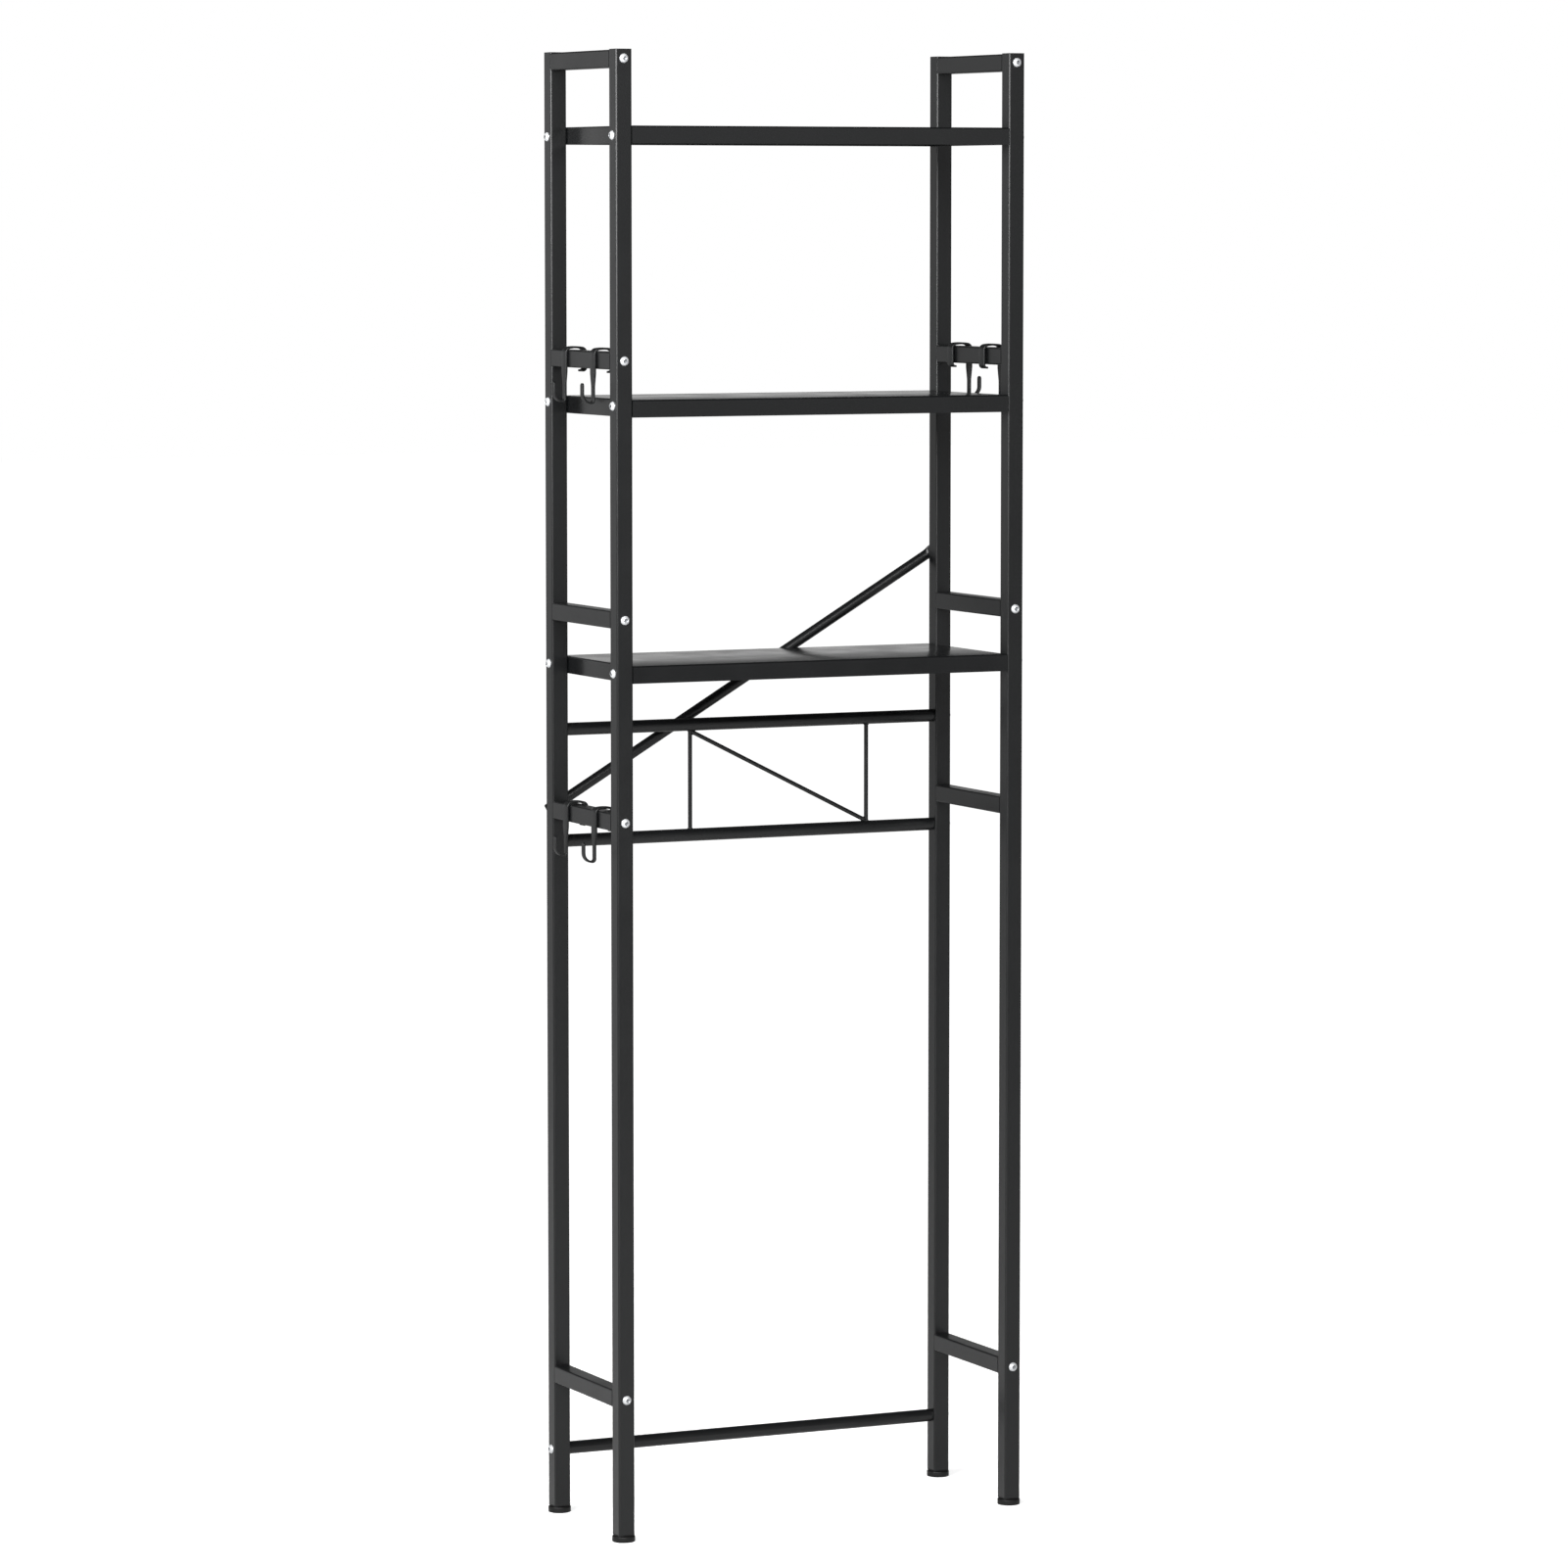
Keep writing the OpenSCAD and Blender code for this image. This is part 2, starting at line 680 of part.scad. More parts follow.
/* left_rear_screws */ rail_screws(LEFT, REAR, [for (i = left_screwed) if (i != brace_rail) i]);
rail_screws(RIGHT, FRONT, right_screwed);  // right_front_screws
rail_screws(RIGHT, REAR, right_screwed);  // right_rear_screws
shelf_screws(LEFT);  // left_shelf_screws
shelf_screws(RIGHT);  // right_shelf_screws
bar_screws([truss_top_z, truss_bottom_z], [RIGHT]);  // truss_screws
bar_screws([bottom_bar_z], [LEFT, RIGHT]);  // bottom_bar_screws
brace_screws();
rail_plugs(LEFT);  // left_rail_plugs
rail_plugs(RIGHT);  // right_rail_plugs
shelf_nuts();
bar_plugs([truss_top_z, truss_bottom_z], [RIGHT]);  // truss_tube_plugs
bar_plugs([bottom_bar_z], [LEFT, RIGHT]);  // bottom_bar_plugs
brace_rivet_nut();
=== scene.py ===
# Dresses the over the toilet storage rack: satin powder coat on its tubes, sheet shelves and
# bent hooks, bright zinc screws and nuts, moulded black caps, inserts and levelling feet.
# Metres, +Z up, the rack's front faces -Y.

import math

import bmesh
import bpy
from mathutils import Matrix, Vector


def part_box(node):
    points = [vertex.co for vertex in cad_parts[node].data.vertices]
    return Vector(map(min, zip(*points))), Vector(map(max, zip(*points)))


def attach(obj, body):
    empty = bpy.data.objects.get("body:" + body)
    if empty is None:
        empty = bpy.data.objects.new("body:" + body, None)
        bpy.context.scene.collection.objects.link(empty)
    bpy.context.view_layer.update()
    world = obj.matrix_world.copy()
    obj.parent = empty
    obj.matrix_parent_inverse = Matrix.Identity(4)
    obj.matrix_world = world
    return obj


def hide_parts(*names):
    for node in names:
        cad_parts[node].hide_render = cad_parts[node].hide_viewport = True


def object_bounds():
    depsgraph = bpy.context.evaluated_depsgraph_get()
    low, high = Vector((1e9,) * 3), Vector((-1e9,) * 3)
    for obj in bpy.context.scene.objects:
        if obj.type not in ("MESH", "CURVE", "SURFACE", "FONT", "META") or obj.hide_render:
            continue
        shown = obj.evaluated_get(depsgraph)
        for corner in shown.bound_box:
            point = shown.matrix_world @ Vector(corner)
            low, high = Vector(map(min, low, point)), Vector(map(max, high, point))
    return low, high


bl_info = {
    "name": "Over the Toilet Storage Rack",
    "version": (1, 0, 0),
    "blender": (4, 5, 0),
    "location": "View3D > Sidebar > Rack",
    "description": "Models the finish and the small pieces of a tall bathroom storage rack",
    "category": "Add Mesh",
}

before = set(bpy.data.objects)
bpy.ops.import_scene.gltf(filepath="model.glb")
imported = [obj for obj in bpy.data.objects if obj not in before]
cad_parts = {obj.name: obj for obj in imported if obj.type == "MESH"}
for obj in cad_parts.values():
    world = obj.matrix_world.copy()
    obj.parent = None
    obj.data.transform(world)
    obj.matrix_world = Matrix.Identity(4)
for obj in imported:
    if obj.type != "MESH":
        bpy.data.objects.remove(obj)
cad_low, cad_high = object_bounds()

MM = 0.001
UPRIGHT = Vector((0, 0, 1))
SMOOTH_ANGLE, SHARP_ANGLE = math.radians(35), math.radians(40)
MERGE = 0.002 * MM
HEX = math.cos(math.radians(30))  # A hexagon's half width across flats over its corner radius

POSTS = ["left_front", "left_rear", "right_front", "right_rear"]
COATED_TUBES = (
    [f"{post}_post" for post in POSTS]
    + [f"{side}_{rail}_rail" for side in ("left", "right")
       for rail in ("top", "hook", "middle", "lower", "bottom")]
    + ["truss_top_tube", "truss_bottom_tube", "truss_left_rod", "truss_right_rod",
       "truss_diagonal_rod", "rear_bottom_bar"]
)
SHELVES = ["top_shelf", "middle_shelf", "bottom_shelf"]
HOOKS = {
    "left_upper_front_hook": "left_hook_rail", "left_upper_rear_hook": "left_hook_rail",
    "left_lower_front_hook": "left_lower_rail", "left_lower_rear_hook": "left_lower_rail",
    "right_upper_front_hook": "right_hook_rail", "right_upper_rear_hook": "right_hook_rail",
}
SCREW_SETS = [
    "left_front_screws", "left_rear_screws", "right_front_screws", "right_rear_screws",
    "left_shelf_screws", "right_shelf_screws", "truss_screws", "bottom_bar_screws",
    "brace_screws",
]
PLUG_SETS = ["left_rail_plugs", "right_rail_plugs", "truss_tube_plugs", "bottom_bar_plugs"]


def hex_colour(code):
    """Turns an sRGB hex colour such as #1a1b1c into linear red, green and blue."""
    parts = [int(code[k:k + 2], 16) / 255 for k in (1, 3, 5)]
    return [p / 12.92 if p <= 0.04045 else ((p + 0.055) / 1.055) ** 2.4 for p in parts]


# ---- What a user may change ----

def length(name, description, millimetres):
    """A size in metres whose default is given in millimetres."""
    return bpy.props.FloatProperty(
        name=name, description=description, default=millimetres * MM, min=0, unit="LENGTH",
        precision=5,
    )


def colour(name, description, code):
    """A colour whose default is an sRGB hex value."""
    return bpy.props.FloatVectorProperty(
        name=name, description=description, default=hex_colour(code), min=0, max=1, size=3,
        subtype="COLOR",
    )


class RackHookSizes(bpy.types.PropertyGroup):
    """Bends of the hooks' steel strip; its width and drop come from the frame."""
    strip: length("Strip", "Thickness of the steel strip", 2.4)
    edge: length("Edge", "Radius along the strip's edges", 0.5)
    gap: length("Gap", "Outer leg's distance from the rail's outer face", 0.6)
    play: length("Play", "Space between the two legs beyond the rail's width", 2.2)
    rest: length("Rest", "Outer bend's distance from the rail's rounded edge", 0.3)
    bend: length("Bend", "Inside radius of the two bends over the rail", 4.5)
    bow: length("Bow", "Inside radius of the bowed strap", 50)
    curl: length("Curl", "Inside radius of the curl under the rail", 2.4)
    curl_gap: length("Curl gap", "Curl's distance below the rail", 2.6)
    curl_lip: length("Curl lip", "Straight end past the curl", 1.4)
    taper: length("Taper", "Length over which the strip narrows", 15)
    narrow: length("Narrow width", "Width of the strip in the J", 7)
    heel: length("Heel", "Inside radius of the J beside the leg", 2)
    mouth: length("Mouth", "Clear width of the J", 11.2)
    tip: length("Tip height", "Height of the J's tip above its bottom", 24)


class RackBraceSizes(bpy.types.PropertyGroup):
    """Crushed ends of the diagonal brace; its length and slope come from the frame."""
    tube: length("Tube", "Diameter of the round tube", 12)
    tab: length("Tab", "Thickness of the crushed ends", 2)
    clear: length("Clearance", "Round tube's distance from the posts' rear faces", 0.3)
    flat: length("Flat", "Flat from the hole to the neck", 6)
    neck: length("Neck", "Length over which the tube is crushed", 7)
    lap: length("Lap", "Metal past the hole", 8.5)
    ease: length("Ease", "Rounding of the tab's two sawn corners", 0.8)
    hole: length("Hole", "Diameter of the screw's hole", 6.4)


class RackFastenerSizes(bpy.types.PropertyGroup):
    """Screws, nuts and feet; their places and overall sizes come from the frame."""
    head_d: length("Head", "Diameter of a button head", 10.5)
    head: length("Head height", "Height of a button head", 3.3)
    rim: length("Head rim", "Straight rim under the head's dome", 0.6)
    land: length("Head land", "Flat ring round the hex socket", 0.4)
    socket: length("Hex socket", "Width across the flats of the socket", 4)
    socket_depth: length("Socket depth", "Depth of the hex socket", 2.3)
    shank: length("Shank", "Diameter of the screws' thread", 6)
    pitch: length("Pitch", "Pitch of the screws' thread", 1)
    stud: length("Stud", "Diameter of a foot's stud", 8)
    stud_pitch: length("Stud pitch", "Pitch of the studs' thread", 1.25)
    pad: length("Pad height", "Height of a foot's pad", 6.8)
    flange: length("Insert flange", "Thickness of the insert's flange", 1.5)
    cap: length("Cap", "Thickness of the top caps", 0.8)
    wall: length("Tube wall", "Wall of the posts' square tube", 1.2)
    corner: length("Tube corner", "Outside corner radius of the square tube", 2)
    weld: length("Weld bead", "Radius of the small weld beads", 0.6)


class RackColours(bpy.types.PropertyGroup):
    """Colours of the rack and of the floor that it stands on."""
    coat: colour("Coat", "Powder coat on tubes, shelves and hooks", "#0c0d0e")
    plastic: colour("Plastic", "Moulded caps, inserts and feet", "#090909")
    zinc: colour("Zinc", "Zinc plate on screws and nuts", "#d6d8da")
    # The sockets' colour is the zinc darkened as painted shade of the recess
    socket: colour("Sockets", "Zinc in the screws' hex sockets, darkened as painted shade", "#a0a2a5")
    floor: colour("Floor", "Pale studio floor", "#f4f4f4")


# ---- Materials ----

TUBE_COAT = "Powder coat on steel tube"
SHEET_COAT = "Powder coat on folded sheet"
STRIP_COAT = "Powder coat on bent strip"
PLASTIC = "Moulded polypropylene"
ZINC = "Bright zinc plate"
# The darker zinc in the hex sockets is painted shade of the recess
SOCKET_SHADE_ZINC = "Zinc plate with painted socket shade"


def add_node(tree, kind, settings=None, inputs=None):
    """Adds a node. Settings are its own properties; an input is a value or another's output."""
    new = tree.nodes.new(kind)
    for key, value in (settings or {}).items():
        setattr(new, key, value)
    for key, value in (inputs or {}).items():
        if isinstance(value, bpy.types.NodeSocket):
            tree.links.new(value, new.inputs[key])
        else:
            new.inputs[key].default_value = value
    return new


def shaded(rgb, share):
    """The colour made lighter or darker by a share, with an opaque alpha."""
    return [min(1.0, part * share) for part in rgb] + [1.0]


def surface(name, rgb, lumps, tint, gloss, relief, crown=0.0, **constants):
    """A material whose tint, gloss and relief follow noise of real sizes on the piece.

    Lumps give each noise its size and detail, tint a noise and the share by which the colour
    varies, gloss a noise and the roughness at its two ends, and relief each noise's depth. A
    crown is how far a folded sheet falls from its middle to its front edge at -Y.
    """
    material = bpy.data.materials.new(name)
    material.use_nodes = True
    tree = material.node_tree
    shader = tree.nodes["Principled BSDF"].inputs
    place = add_node(tree, "ShaderNodeTexCoord").outputs["Object"]
    noise = {lump: add_node(tree, "ShaderNodeTexNoise", inputs={
        "Vector": place, "Scale": 1 / size, "Detail": detail, "Roughness": 0.55,
    }).outputs["Fac"] for lump, (size, detail) in lumps.items()}

    lump, contrast = tint
    mix = add_node(tree, "ShaderNodeMix", {"data_type": "RGBA"}, {
        "Factor": noise[lump], 6: shaded(rgb, 1 - contrast), 7: shaded(rgb, 1 + contrast)})
    tree.links.new(mix.outputs[2], shader["Base Color"])
    # A noise keeps mostly between 0.3 and 0.7
    lump, low, high = gloss
    rough = add_node(tree, "ShaderNodeMapRange", inputs={
        "Value": noise[lump], "From Min": 0.3, "From Max": 0.7, "To Min": low, "To Max": high})
    tree.links.new(rough.outputs["Result"], shader["Roughness"])

    heights = [(noise[lump], depth) for lump, depth in relief.items()]
    if crown:
        split = add_node(tree, "ShaderNodeSeparateXYZ", inputs={0: place})
        front = add_node(tree, "ShaderNodeMapRange", inputs={
            "Value": split.outputs["Y"], "From Min": cad_low.y, "From Max": 0.0,
            "To Min": 1.0, "To Max": 0.0})
        curve = add_node(tree, "ShaderNodeMath", {"operation": "POWER"}, {
            0: front.outputs["Result"], 1: 2.0})
        heights.insert(0, (curve.outputs[0], -crown))
    below = {}
    for height, depth in heights:
        bump = add_node(tree, "ShaderNodeBump", inputs={
            "Height": height, "Strength": 1.0, "Distance": depth, **below})
        below = {"Normal": bump.outputs["Normal"]}
    tree.links.new(below["Normal"], shader["Normal"])
    for socket, value in constants.items():
        shader[socket].default_value = value
    return material


def powder_coat(name, rgb, gloss, crown=0.0):
    """Satin powder coat: resin powder sprayed on the steel and baked until it flows together.

    The eye sees near-black with a soft sheen, a fine orange peel and slightly duller patches.
    The orange peel is drawn shallow, so that it leaves the light along a tube's corners whole.
    """
    lumps = {"orange peel": (1.6 * MM, 1.0), "powder": (0.35 * MM, 1.0), "patches": (55 * MM, 3.0)}
    return surface(name, rgb, lumps, tint=("patches", 0.18),
                   gloss=("patches", gloss - 0.03, gloss + 0.04),
                   relief={"orange peel": 0.005 * MM, "powder": 0.0015 * MM}, crown=crown, IOR=1.5)


def moulded_plastic(name, rgb):
    """Moulded polypropylene from a spark-eroded tool: matt, with a fine even grain."""
    lumps = {"grain": (0.5 * MM, 2.0), "flow": (9 * MM, 2.0)}
    return surface(name, rgb, lumps, tint=("flow", 0.12), gloss=("grain", 0.42, 0.56),
                   relief={"grain": 0.02 * MM}, IOR=1.42)


def zinc_plate(name, rgb, metallic):
    """Bright zinc plate on rolled and headed steel: pale, a little hazy, with faint patches.

    The real plating's speckle is finer than can show, so it is drawn 0.6 mm coarse. Inside a
    hex socket the zinc is drawn darker, as painted shade of the recess.
    """
    lumps = {"speckle": (0.6 * MM, 2.0), "haze": (4 * MM, 2.0)}
    return surface(name, rgb, lumps, tint=("haze", 0.07), gloss=("speckle", 0.3, 0.44),
                   relief={"speckle": 0.004 * MM}, Metallic=metallic)


def material_of(kind):
    """The one material of a kind, made when a piece first needs it."""
    if kind in bpy.data.materials and bpy.data.materials[kind].get("dressed"):
        return bpy.data.materials[kind]
    colours = bpy.context.scene.rack_colours
    makers = {
        TUBE_COAT: lambda: powder_coat(kind, colours.coat, gloss=0.31),
        SHEET_COAT: lambda: powder_coat(kind, colours.coat, gloss=0.2, crown=5.0 * MM),
        STRIP_COAT: lambda: powder_coat(kind, colours.coat, gloss=0.4),
        PLASTIC: lambda: moulded_plastic(kind, colours.plastic),
        ZINC: lambda: zinc_plate(kind, colours.zinc, metallic=0.5),
        SOCKET_SHADE_ZINC: lambda: zinc_plate(kind, colours.socket, metallic=0.9),
    }
    made = makers[kind]()
    made["dressed"] = True
    return made


def coat_node(node, kind):
    """Gives a node of the frame its material and leaves its mesh as it is."""
    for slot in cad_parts[node].material_slots:
        slot.material = material_of(kind)


# ---- Modelling by hand ----

def clear_selection():
    """Leaves edit mode and deselects everything."""
    if bpy.context.object and bpy.context.object.mode != "OBJECT":
        bpy.ops.object.mode_set(mode="OBJECT")
    bpy.ops.object.select_all(action="DESELECT")


def pick(piece):
    """Selects the piece alone and makes it the active one."""
    clear_selection()
    piece.select_set(True)
    bpy.context.view_layer.objects.active = piece


def edit(piece=None):
    """Opens the piece, or the one just added, in edit mode with all of it selected."""
    if piece is not None:
        pick(piece)
    bpy.ops.object.mode_set(mode="EDIT")
    bpy.ops.mesh.select_all(action="SELECT")


def select(kind, test):
    """In edit mode, selects only the vertices, edges or faces that pass the test."""
    bpy.ops.mesh.select_mode(type=kind)
    bpy.ops.mesh.select_all(action="DESELECT")
    mesh = bpy.context.object.data
    shape = bmesh.from_edit_mesh(mesh)
    for item in {"VERT": shape.verts, "EDGE": shape.edges, "FACE": shape.faces}[kind]:
        if test(item):
            item.select_set(True)
    shape.select_flush_mode()
    bmesh.update_edit_mesh(mesh)


def outward():
    """Merges doubled vertices and turns every face outwards."""
    bpy.ops.mesh.select_mode(type="VERT")
    bpy.ops.mesh.select_all(action="SELECT")
    bpy.ops.mesh.remove_doubles(threshold=MERGE)
    bpy.ops.mesh.normals_make_consistent(inside=False)


def named(piece, name):
    """Names a piece and its mesh alike."""
    piece.name = piece.data.name = name
    return piece


def close_edit(name):
    """Leaves edit mode, names the piece and returns it."""
    bpy.ops.object.mode_set(mode="OBJECT")
    return named(bpy.context.object, name)


def draw_outline(points):
    """Extrudes a single vertex through (radius, height) points of the XZ plane."""
    clear_selection()
    bpy.ops.mesh.primitive_plane_add(size=MM, location=(0, 0, 0))
    edit()
    bpy.ops.mesh.merge(type="CENTER")
    bpy.ops.transform.translate(value=(points[0][0], 0, points[0][1]))
    for (r0, z0), (r1, z1) in zip(points, points[1:]):
        bpy.ops.mesh.extrude_vertices_move(
            TRANSFORM_OT_translate={"value": (r1 - r0, 0, z1 - z0)})


def arc(centre, radius, start, end, steps):
    """Points of an arc about a centre, with its angles in degrees."""
    turns = [math.radians(start + (end - start) * k / steps) for k in range(steps + 1)]
    return [(centre[0] + radius * math.cos(a), centre[1] + radius * math.sin(a)) for a in turns]


def turned(name, outline, steps=48):
    """Turns an outline that runs from axis to axis into a closed piece about Z."""
    draw_outline(outline)
    bpy.ops.mesh.select_all(action="SELECT")
    bpy.ops.mesh.spin(steps=steps, angle=math.tau, center=(0, 0, 0), axis=(0, 0, 1))
    outward()
    return close_edit(name)


def square_plate(width, thick, corner):
    """Opens a square plate on z = 0 in edit mode, with its four upright edges rounded."""
    clear_selection()
    bpy.ops.mesh.primitive_cube_add(size=1, location=(0, 0, thick / 2),
                                    scale=(width, width, thick))
    bpy.ops.object.transform_apply(location=True, rotation=True, scale=True)
    edit()
    select("EDGE", lambda e: abs((e.verts[0].co - e.verts[1].co).z) > thick / 2)
    bpy.ops.mesh.bevel(offset=corner, segments=6)


def finish_with(piece, kind, **settings):
    """Adds a modifier to a piece and applies it."""
    pick(piece)
    modifier = piece.modifiers.new(kind.title(), kind)
    for key, value in settings.items():
        setattr(modifier, key, value)
    bpy.ops.object.modifier_apply(modifier=modifier.name)


def cut(piece, tool, operation="DIFFERENCE"):
    """Cuts, joins or trims a piece with a tool, which is used up."""
    finish_with(piece, "BOOLEAN", object=tool, operation=operation, solver="EXACT")
    drop(tool)
    return piece


def drop(piece):
    """Deletes a working piece and its mesh."""
    mesh = piece.data
    bpy.data.objects.remove(piece)
    bpy.data.meshes.remove(mesh)


def threaded(name, radius, pitch, low, high, tip):
    """A threaded rod about Z between two heights whose lower tip is chamfered."""
    # A thread's depth and crest as shares of its pitch, with flanks at the usual 60 degrees
    depth, crest = 0.61 * pitch, 0.16 * pitch
    root = radius - depth
    heights = [0, 0.5 * (pitch - crest), 0.5 * (pitch + crest), pitch]
    foot_z = low - tip
    start = foot_z - pitch
    draw_outline([(r, start + z) for r, z in zip((root, radius, radius, root), heights)])
    rod = close_edit(name)
    finish_with(rod, "SCREW", axis="Z", angle=math.tau, screw_offset=pitch,
                iterations=math.ceil((high - foot_z) / pitch) + 2, steps=16, render_steps=16,
                use_merge_vertices=False)
    edit(rod)
    bpy.ops.mesh.remove_doubles(threshold=MERGE)
    for height, way in ((foot_z, -1), (high, 1)):
        bpy.ops.mesh.select_all(action="SELECT")
        bpy.ops.mesh.bisect(plane_co=(0, 0, height), plane_no=(0, 0, way), use_fill=True,
                            clear_outer=True, threshold=MERGE)
    outward()
    close_edit(name)
    over = 0.05 * MM
    envelope = turned("envelope", [
        (0, low), (radius - tip, low), (radius + over, low + tip + over),
        (radius + over, high + tip), (0, high + tip),
    ], steps=32)
    return cut(rod, envelope, "INTERSECT")


def placed_copy(pattern, place, name="copy"):
    """Copies a pattern with its own mesh and puts the place into the mesh."""
    mesh = pattern.data.copy()
    mesh.transform(place)
    if place.determinant() < 0:
        mesh.flip_normals()
    piece = bpy.data.objects.new(name, mesh)
    bpy.context.collection.objects.link(piece)
    return named(piece, name)


def joined(pieces, name):
    """Joins copies into one piece of separate solids."""
    pick(pieces[0])
    for piece in pieces[1:]:
        piece.select_set(True)
    bpy.ops.object.join()
    return named(pieces[0], name)


def hand_over(piece, body, kind, slot, *nodes):
    """Finishes a piece: its shading, material, body and the nodes it stands for. The slot is not
    used.
    """
    pick(piece)
    bpy.ops.object.shade_smooth_by_angle(angle=SMOOTH_ANGLE)
    if not piece.data.materials:
        piece.data.materials.append(material_of(kind))
    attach(piece, body)
    if nodes:
        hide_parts(*nodes)


# ---- Places that the frame gives ----

def middle(node):
    """Middle of a node's box."""
    low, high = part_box(node)
    return (low + high) / 2


def size_of(node):
    """Width, depth and height of a node's box."""
    low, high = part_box(node)
    return high - low


def solids(node):
    """Lowest and highest corner of each separate solid in a node, from the top down."""
    shape = bmesh.new()
    shape.from_mesh(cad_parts[node].data)
    bmesh.ops.remove_doubles(shape, verts=shape.verts, dist=MERGE)
    waiting = set(shape.verts)
    boxes = []
    while waiting:
        front = [waiting.pop()]
        low, high = front[0].co.copy(), front[0].co.copy()
        while front:
            vertex = front.pop()
            low = Vector(map(min, low, vertex.co))
            high = Vector(map(max, high, vertex.co))
            for edge in vertex.link_edges:
                other = edge.other_vert(vertex)
                if other in waiting:
                    waiting.remove(other)
                    front.append(other)
        boxes.append((low, high))
    shape.free()
    return sorted(boxes, key=lambda box: (-round(box[0].z, 4), round(box[0].x, 4), box[0].y))


def facing(direction, turn=0.0):
    """Rotation that turns +Z to a direction, after a turn about Z in degrees."""
    swing = UPRIGHT.rotation_difference(Vector(direction)).to_matrix().to_4x4()
    return swing @ Matrix.Rotation(math.radians(turn), 4, "Z")


def screw_places(node, head):
    """Seat, outward direction and length under the head of each screw in a node."""
    rack_middle = (cad_low + cad_high) / 2
    places = []
    for low, high in solids(node):
        axis = max((0, 1), key=lambda k: (high - low)[k])
        centre = (low + high) / 2
        way = math.copysign(1, centre[axis] - rack_middle[axis])
        direction = Vector((0, 0, 0))
        direction[axis] = way
        seat = centre.copy()
        seat[axis] = (high[axis] if way > 0 else low[axis]) - way * head
        places.append((seat, direction, (high - low)[axis] - head))
    return places


# ---- Operators: coated steel ----

class RACK_OT_tubes(bpy.types.Operator):
    """Coats the posts, rails, truss and bars"""
    bl_idname = "rack.tubes"
    bl_label = "Posts, rails and bars"

    def execute(self, context):
        for node in COATED_TUBES:
            coat_node(node, TUBE_COAT)
        return {"FINISHED"}


class RACK_OT_shelves(bpy.types.Operator):
    """Coats the three folded shelves"""
    bl_idname = "rack.shelves"
    bl_label = "Shelves"

    def execute(self, context):
        for node in SHELVES:
            coat_node(node, SHEET_COAT)
        return {"FINISHED"}


def bend(centre, angle, steps=10):
    """Spins the selected edge of the strip about a line along Y; plus is from +X to +Z."""
    bpy.ops.mesh.spin(steps=steps, angle=math.radians(angle), center=(centre[0], 0, centre[1]),
                      axis=(0, 1, 0))


def run(x, z):
    """Extrudes the selected edge of the strip straight."""
    bpy.ops.mesh.extrude_edges_move(TRANSFORM_OT_translate={"value": (x, 0, z)})


def bent_strip(sizes, rail, corner, width, hang):
    """A hook, bent from strip, hung on a rail whose outer top edge is the origin.

    The strip's face towards the rail is drawn first, from the curl's lip to the J's tip, and
    then gets its thickness and its rounded edges.
    """
    leg_x = sizes.gap
    inner_x = sizes.gap - rail - sizes.play
    middle_x = (leg_x + inner_x) / 2
    # The outer bend rests on the rail's rounded edge
    bend_z = -corner - math.sqrt(
        (sizes.bend - corner - sizes.rest) ** 2 - (sizes.bend - corner - sizes.gap) ** 2)
    sweep = math.degrees(math.asin(
        ((leg_x - inner_x) / 2 - sizes.bend) / (sizes.bow - sizes.bend)))
    bow_z = bend_z - (sizes.bow - sizes.bend) * math.cos(math.radians(sweep))
    curl_z = -rail - sizes.curl_gap + sizes.curl
    heel = (leg_x + sizes.strip + sizes.heel, -hang + sizes.strip + sizes.heel)
    toe = sizes.mouth - sizes.heel
    taper_z = -rail - sizes.curl_gap - sizes.strip

    clear_selection()
    bpy.ops.mesh.primitive_plane_add(
        size=width, location=(inner_x + sizes.curl + sizes.curl_lip, 0, curl_z - sizes.curl))
    bpy.ops.object.transform_apply(location=True, rotation=True, scale=True)
    edit()
    bpy.ops.transform.resize(value=(0, 1, 1))
    bpy.ops.mesh.remove_doubles(threshold=MERGE)
    bpy.ops.mesh.delete(type="ONLY_FACE")
    bpy.ops.mesh.select_all(action="SELECT")
    run(-sizes.curl_lip, 0)
    bend((inner_x + sizes.curl, curl_z), -90)
    run(0, bend_z - curl_z)
    bend((inner_x + sizes.bend, bend_z), sweep - 90)
    bend((middle_x, bow_z), -2 * sweep, steps=14)
    bend((leg_x - sizes.bend, bend_z), sweep - 90)
    run(0, taper_z - bend_z)
    run(0, -sizes.taper)
    bpy.ops.transform.resize(value=(1, sizes.narrow / width, 1), center_override=(0, 0, 0))
    run(0, heel[1] - taper_z + sizes.taper)
    bend(heel, 90)
    bend((heel[0], -hang + sizes.strip + toe), 90, steps=14)
    run(0, sizes.tip - sizes.strip - toe)
    # The tip's two corners are rounded by almost half its width each
    bpy.ops.mesh.bevel(offset=0.48 * sizes.narrow, segments=8, affect="VERTICES")
    outward()
    hook = close_edit("bent_strip")
    leg = max(hook.data.polygons, key=lambda face: face.area)
    finish_with(hook, "SOLIDIFY", thickness=sizes.strip, offset=math.copysign(1, leg.normal.x),
                use_even_offset=True)
    finish_with(hook, "BEVEL", width=sizes.edge, segments=3, limit_method="ANGLE",
                angle_limit=SHARP_ANGLE, use_clamp_overlap=True)
    return hook


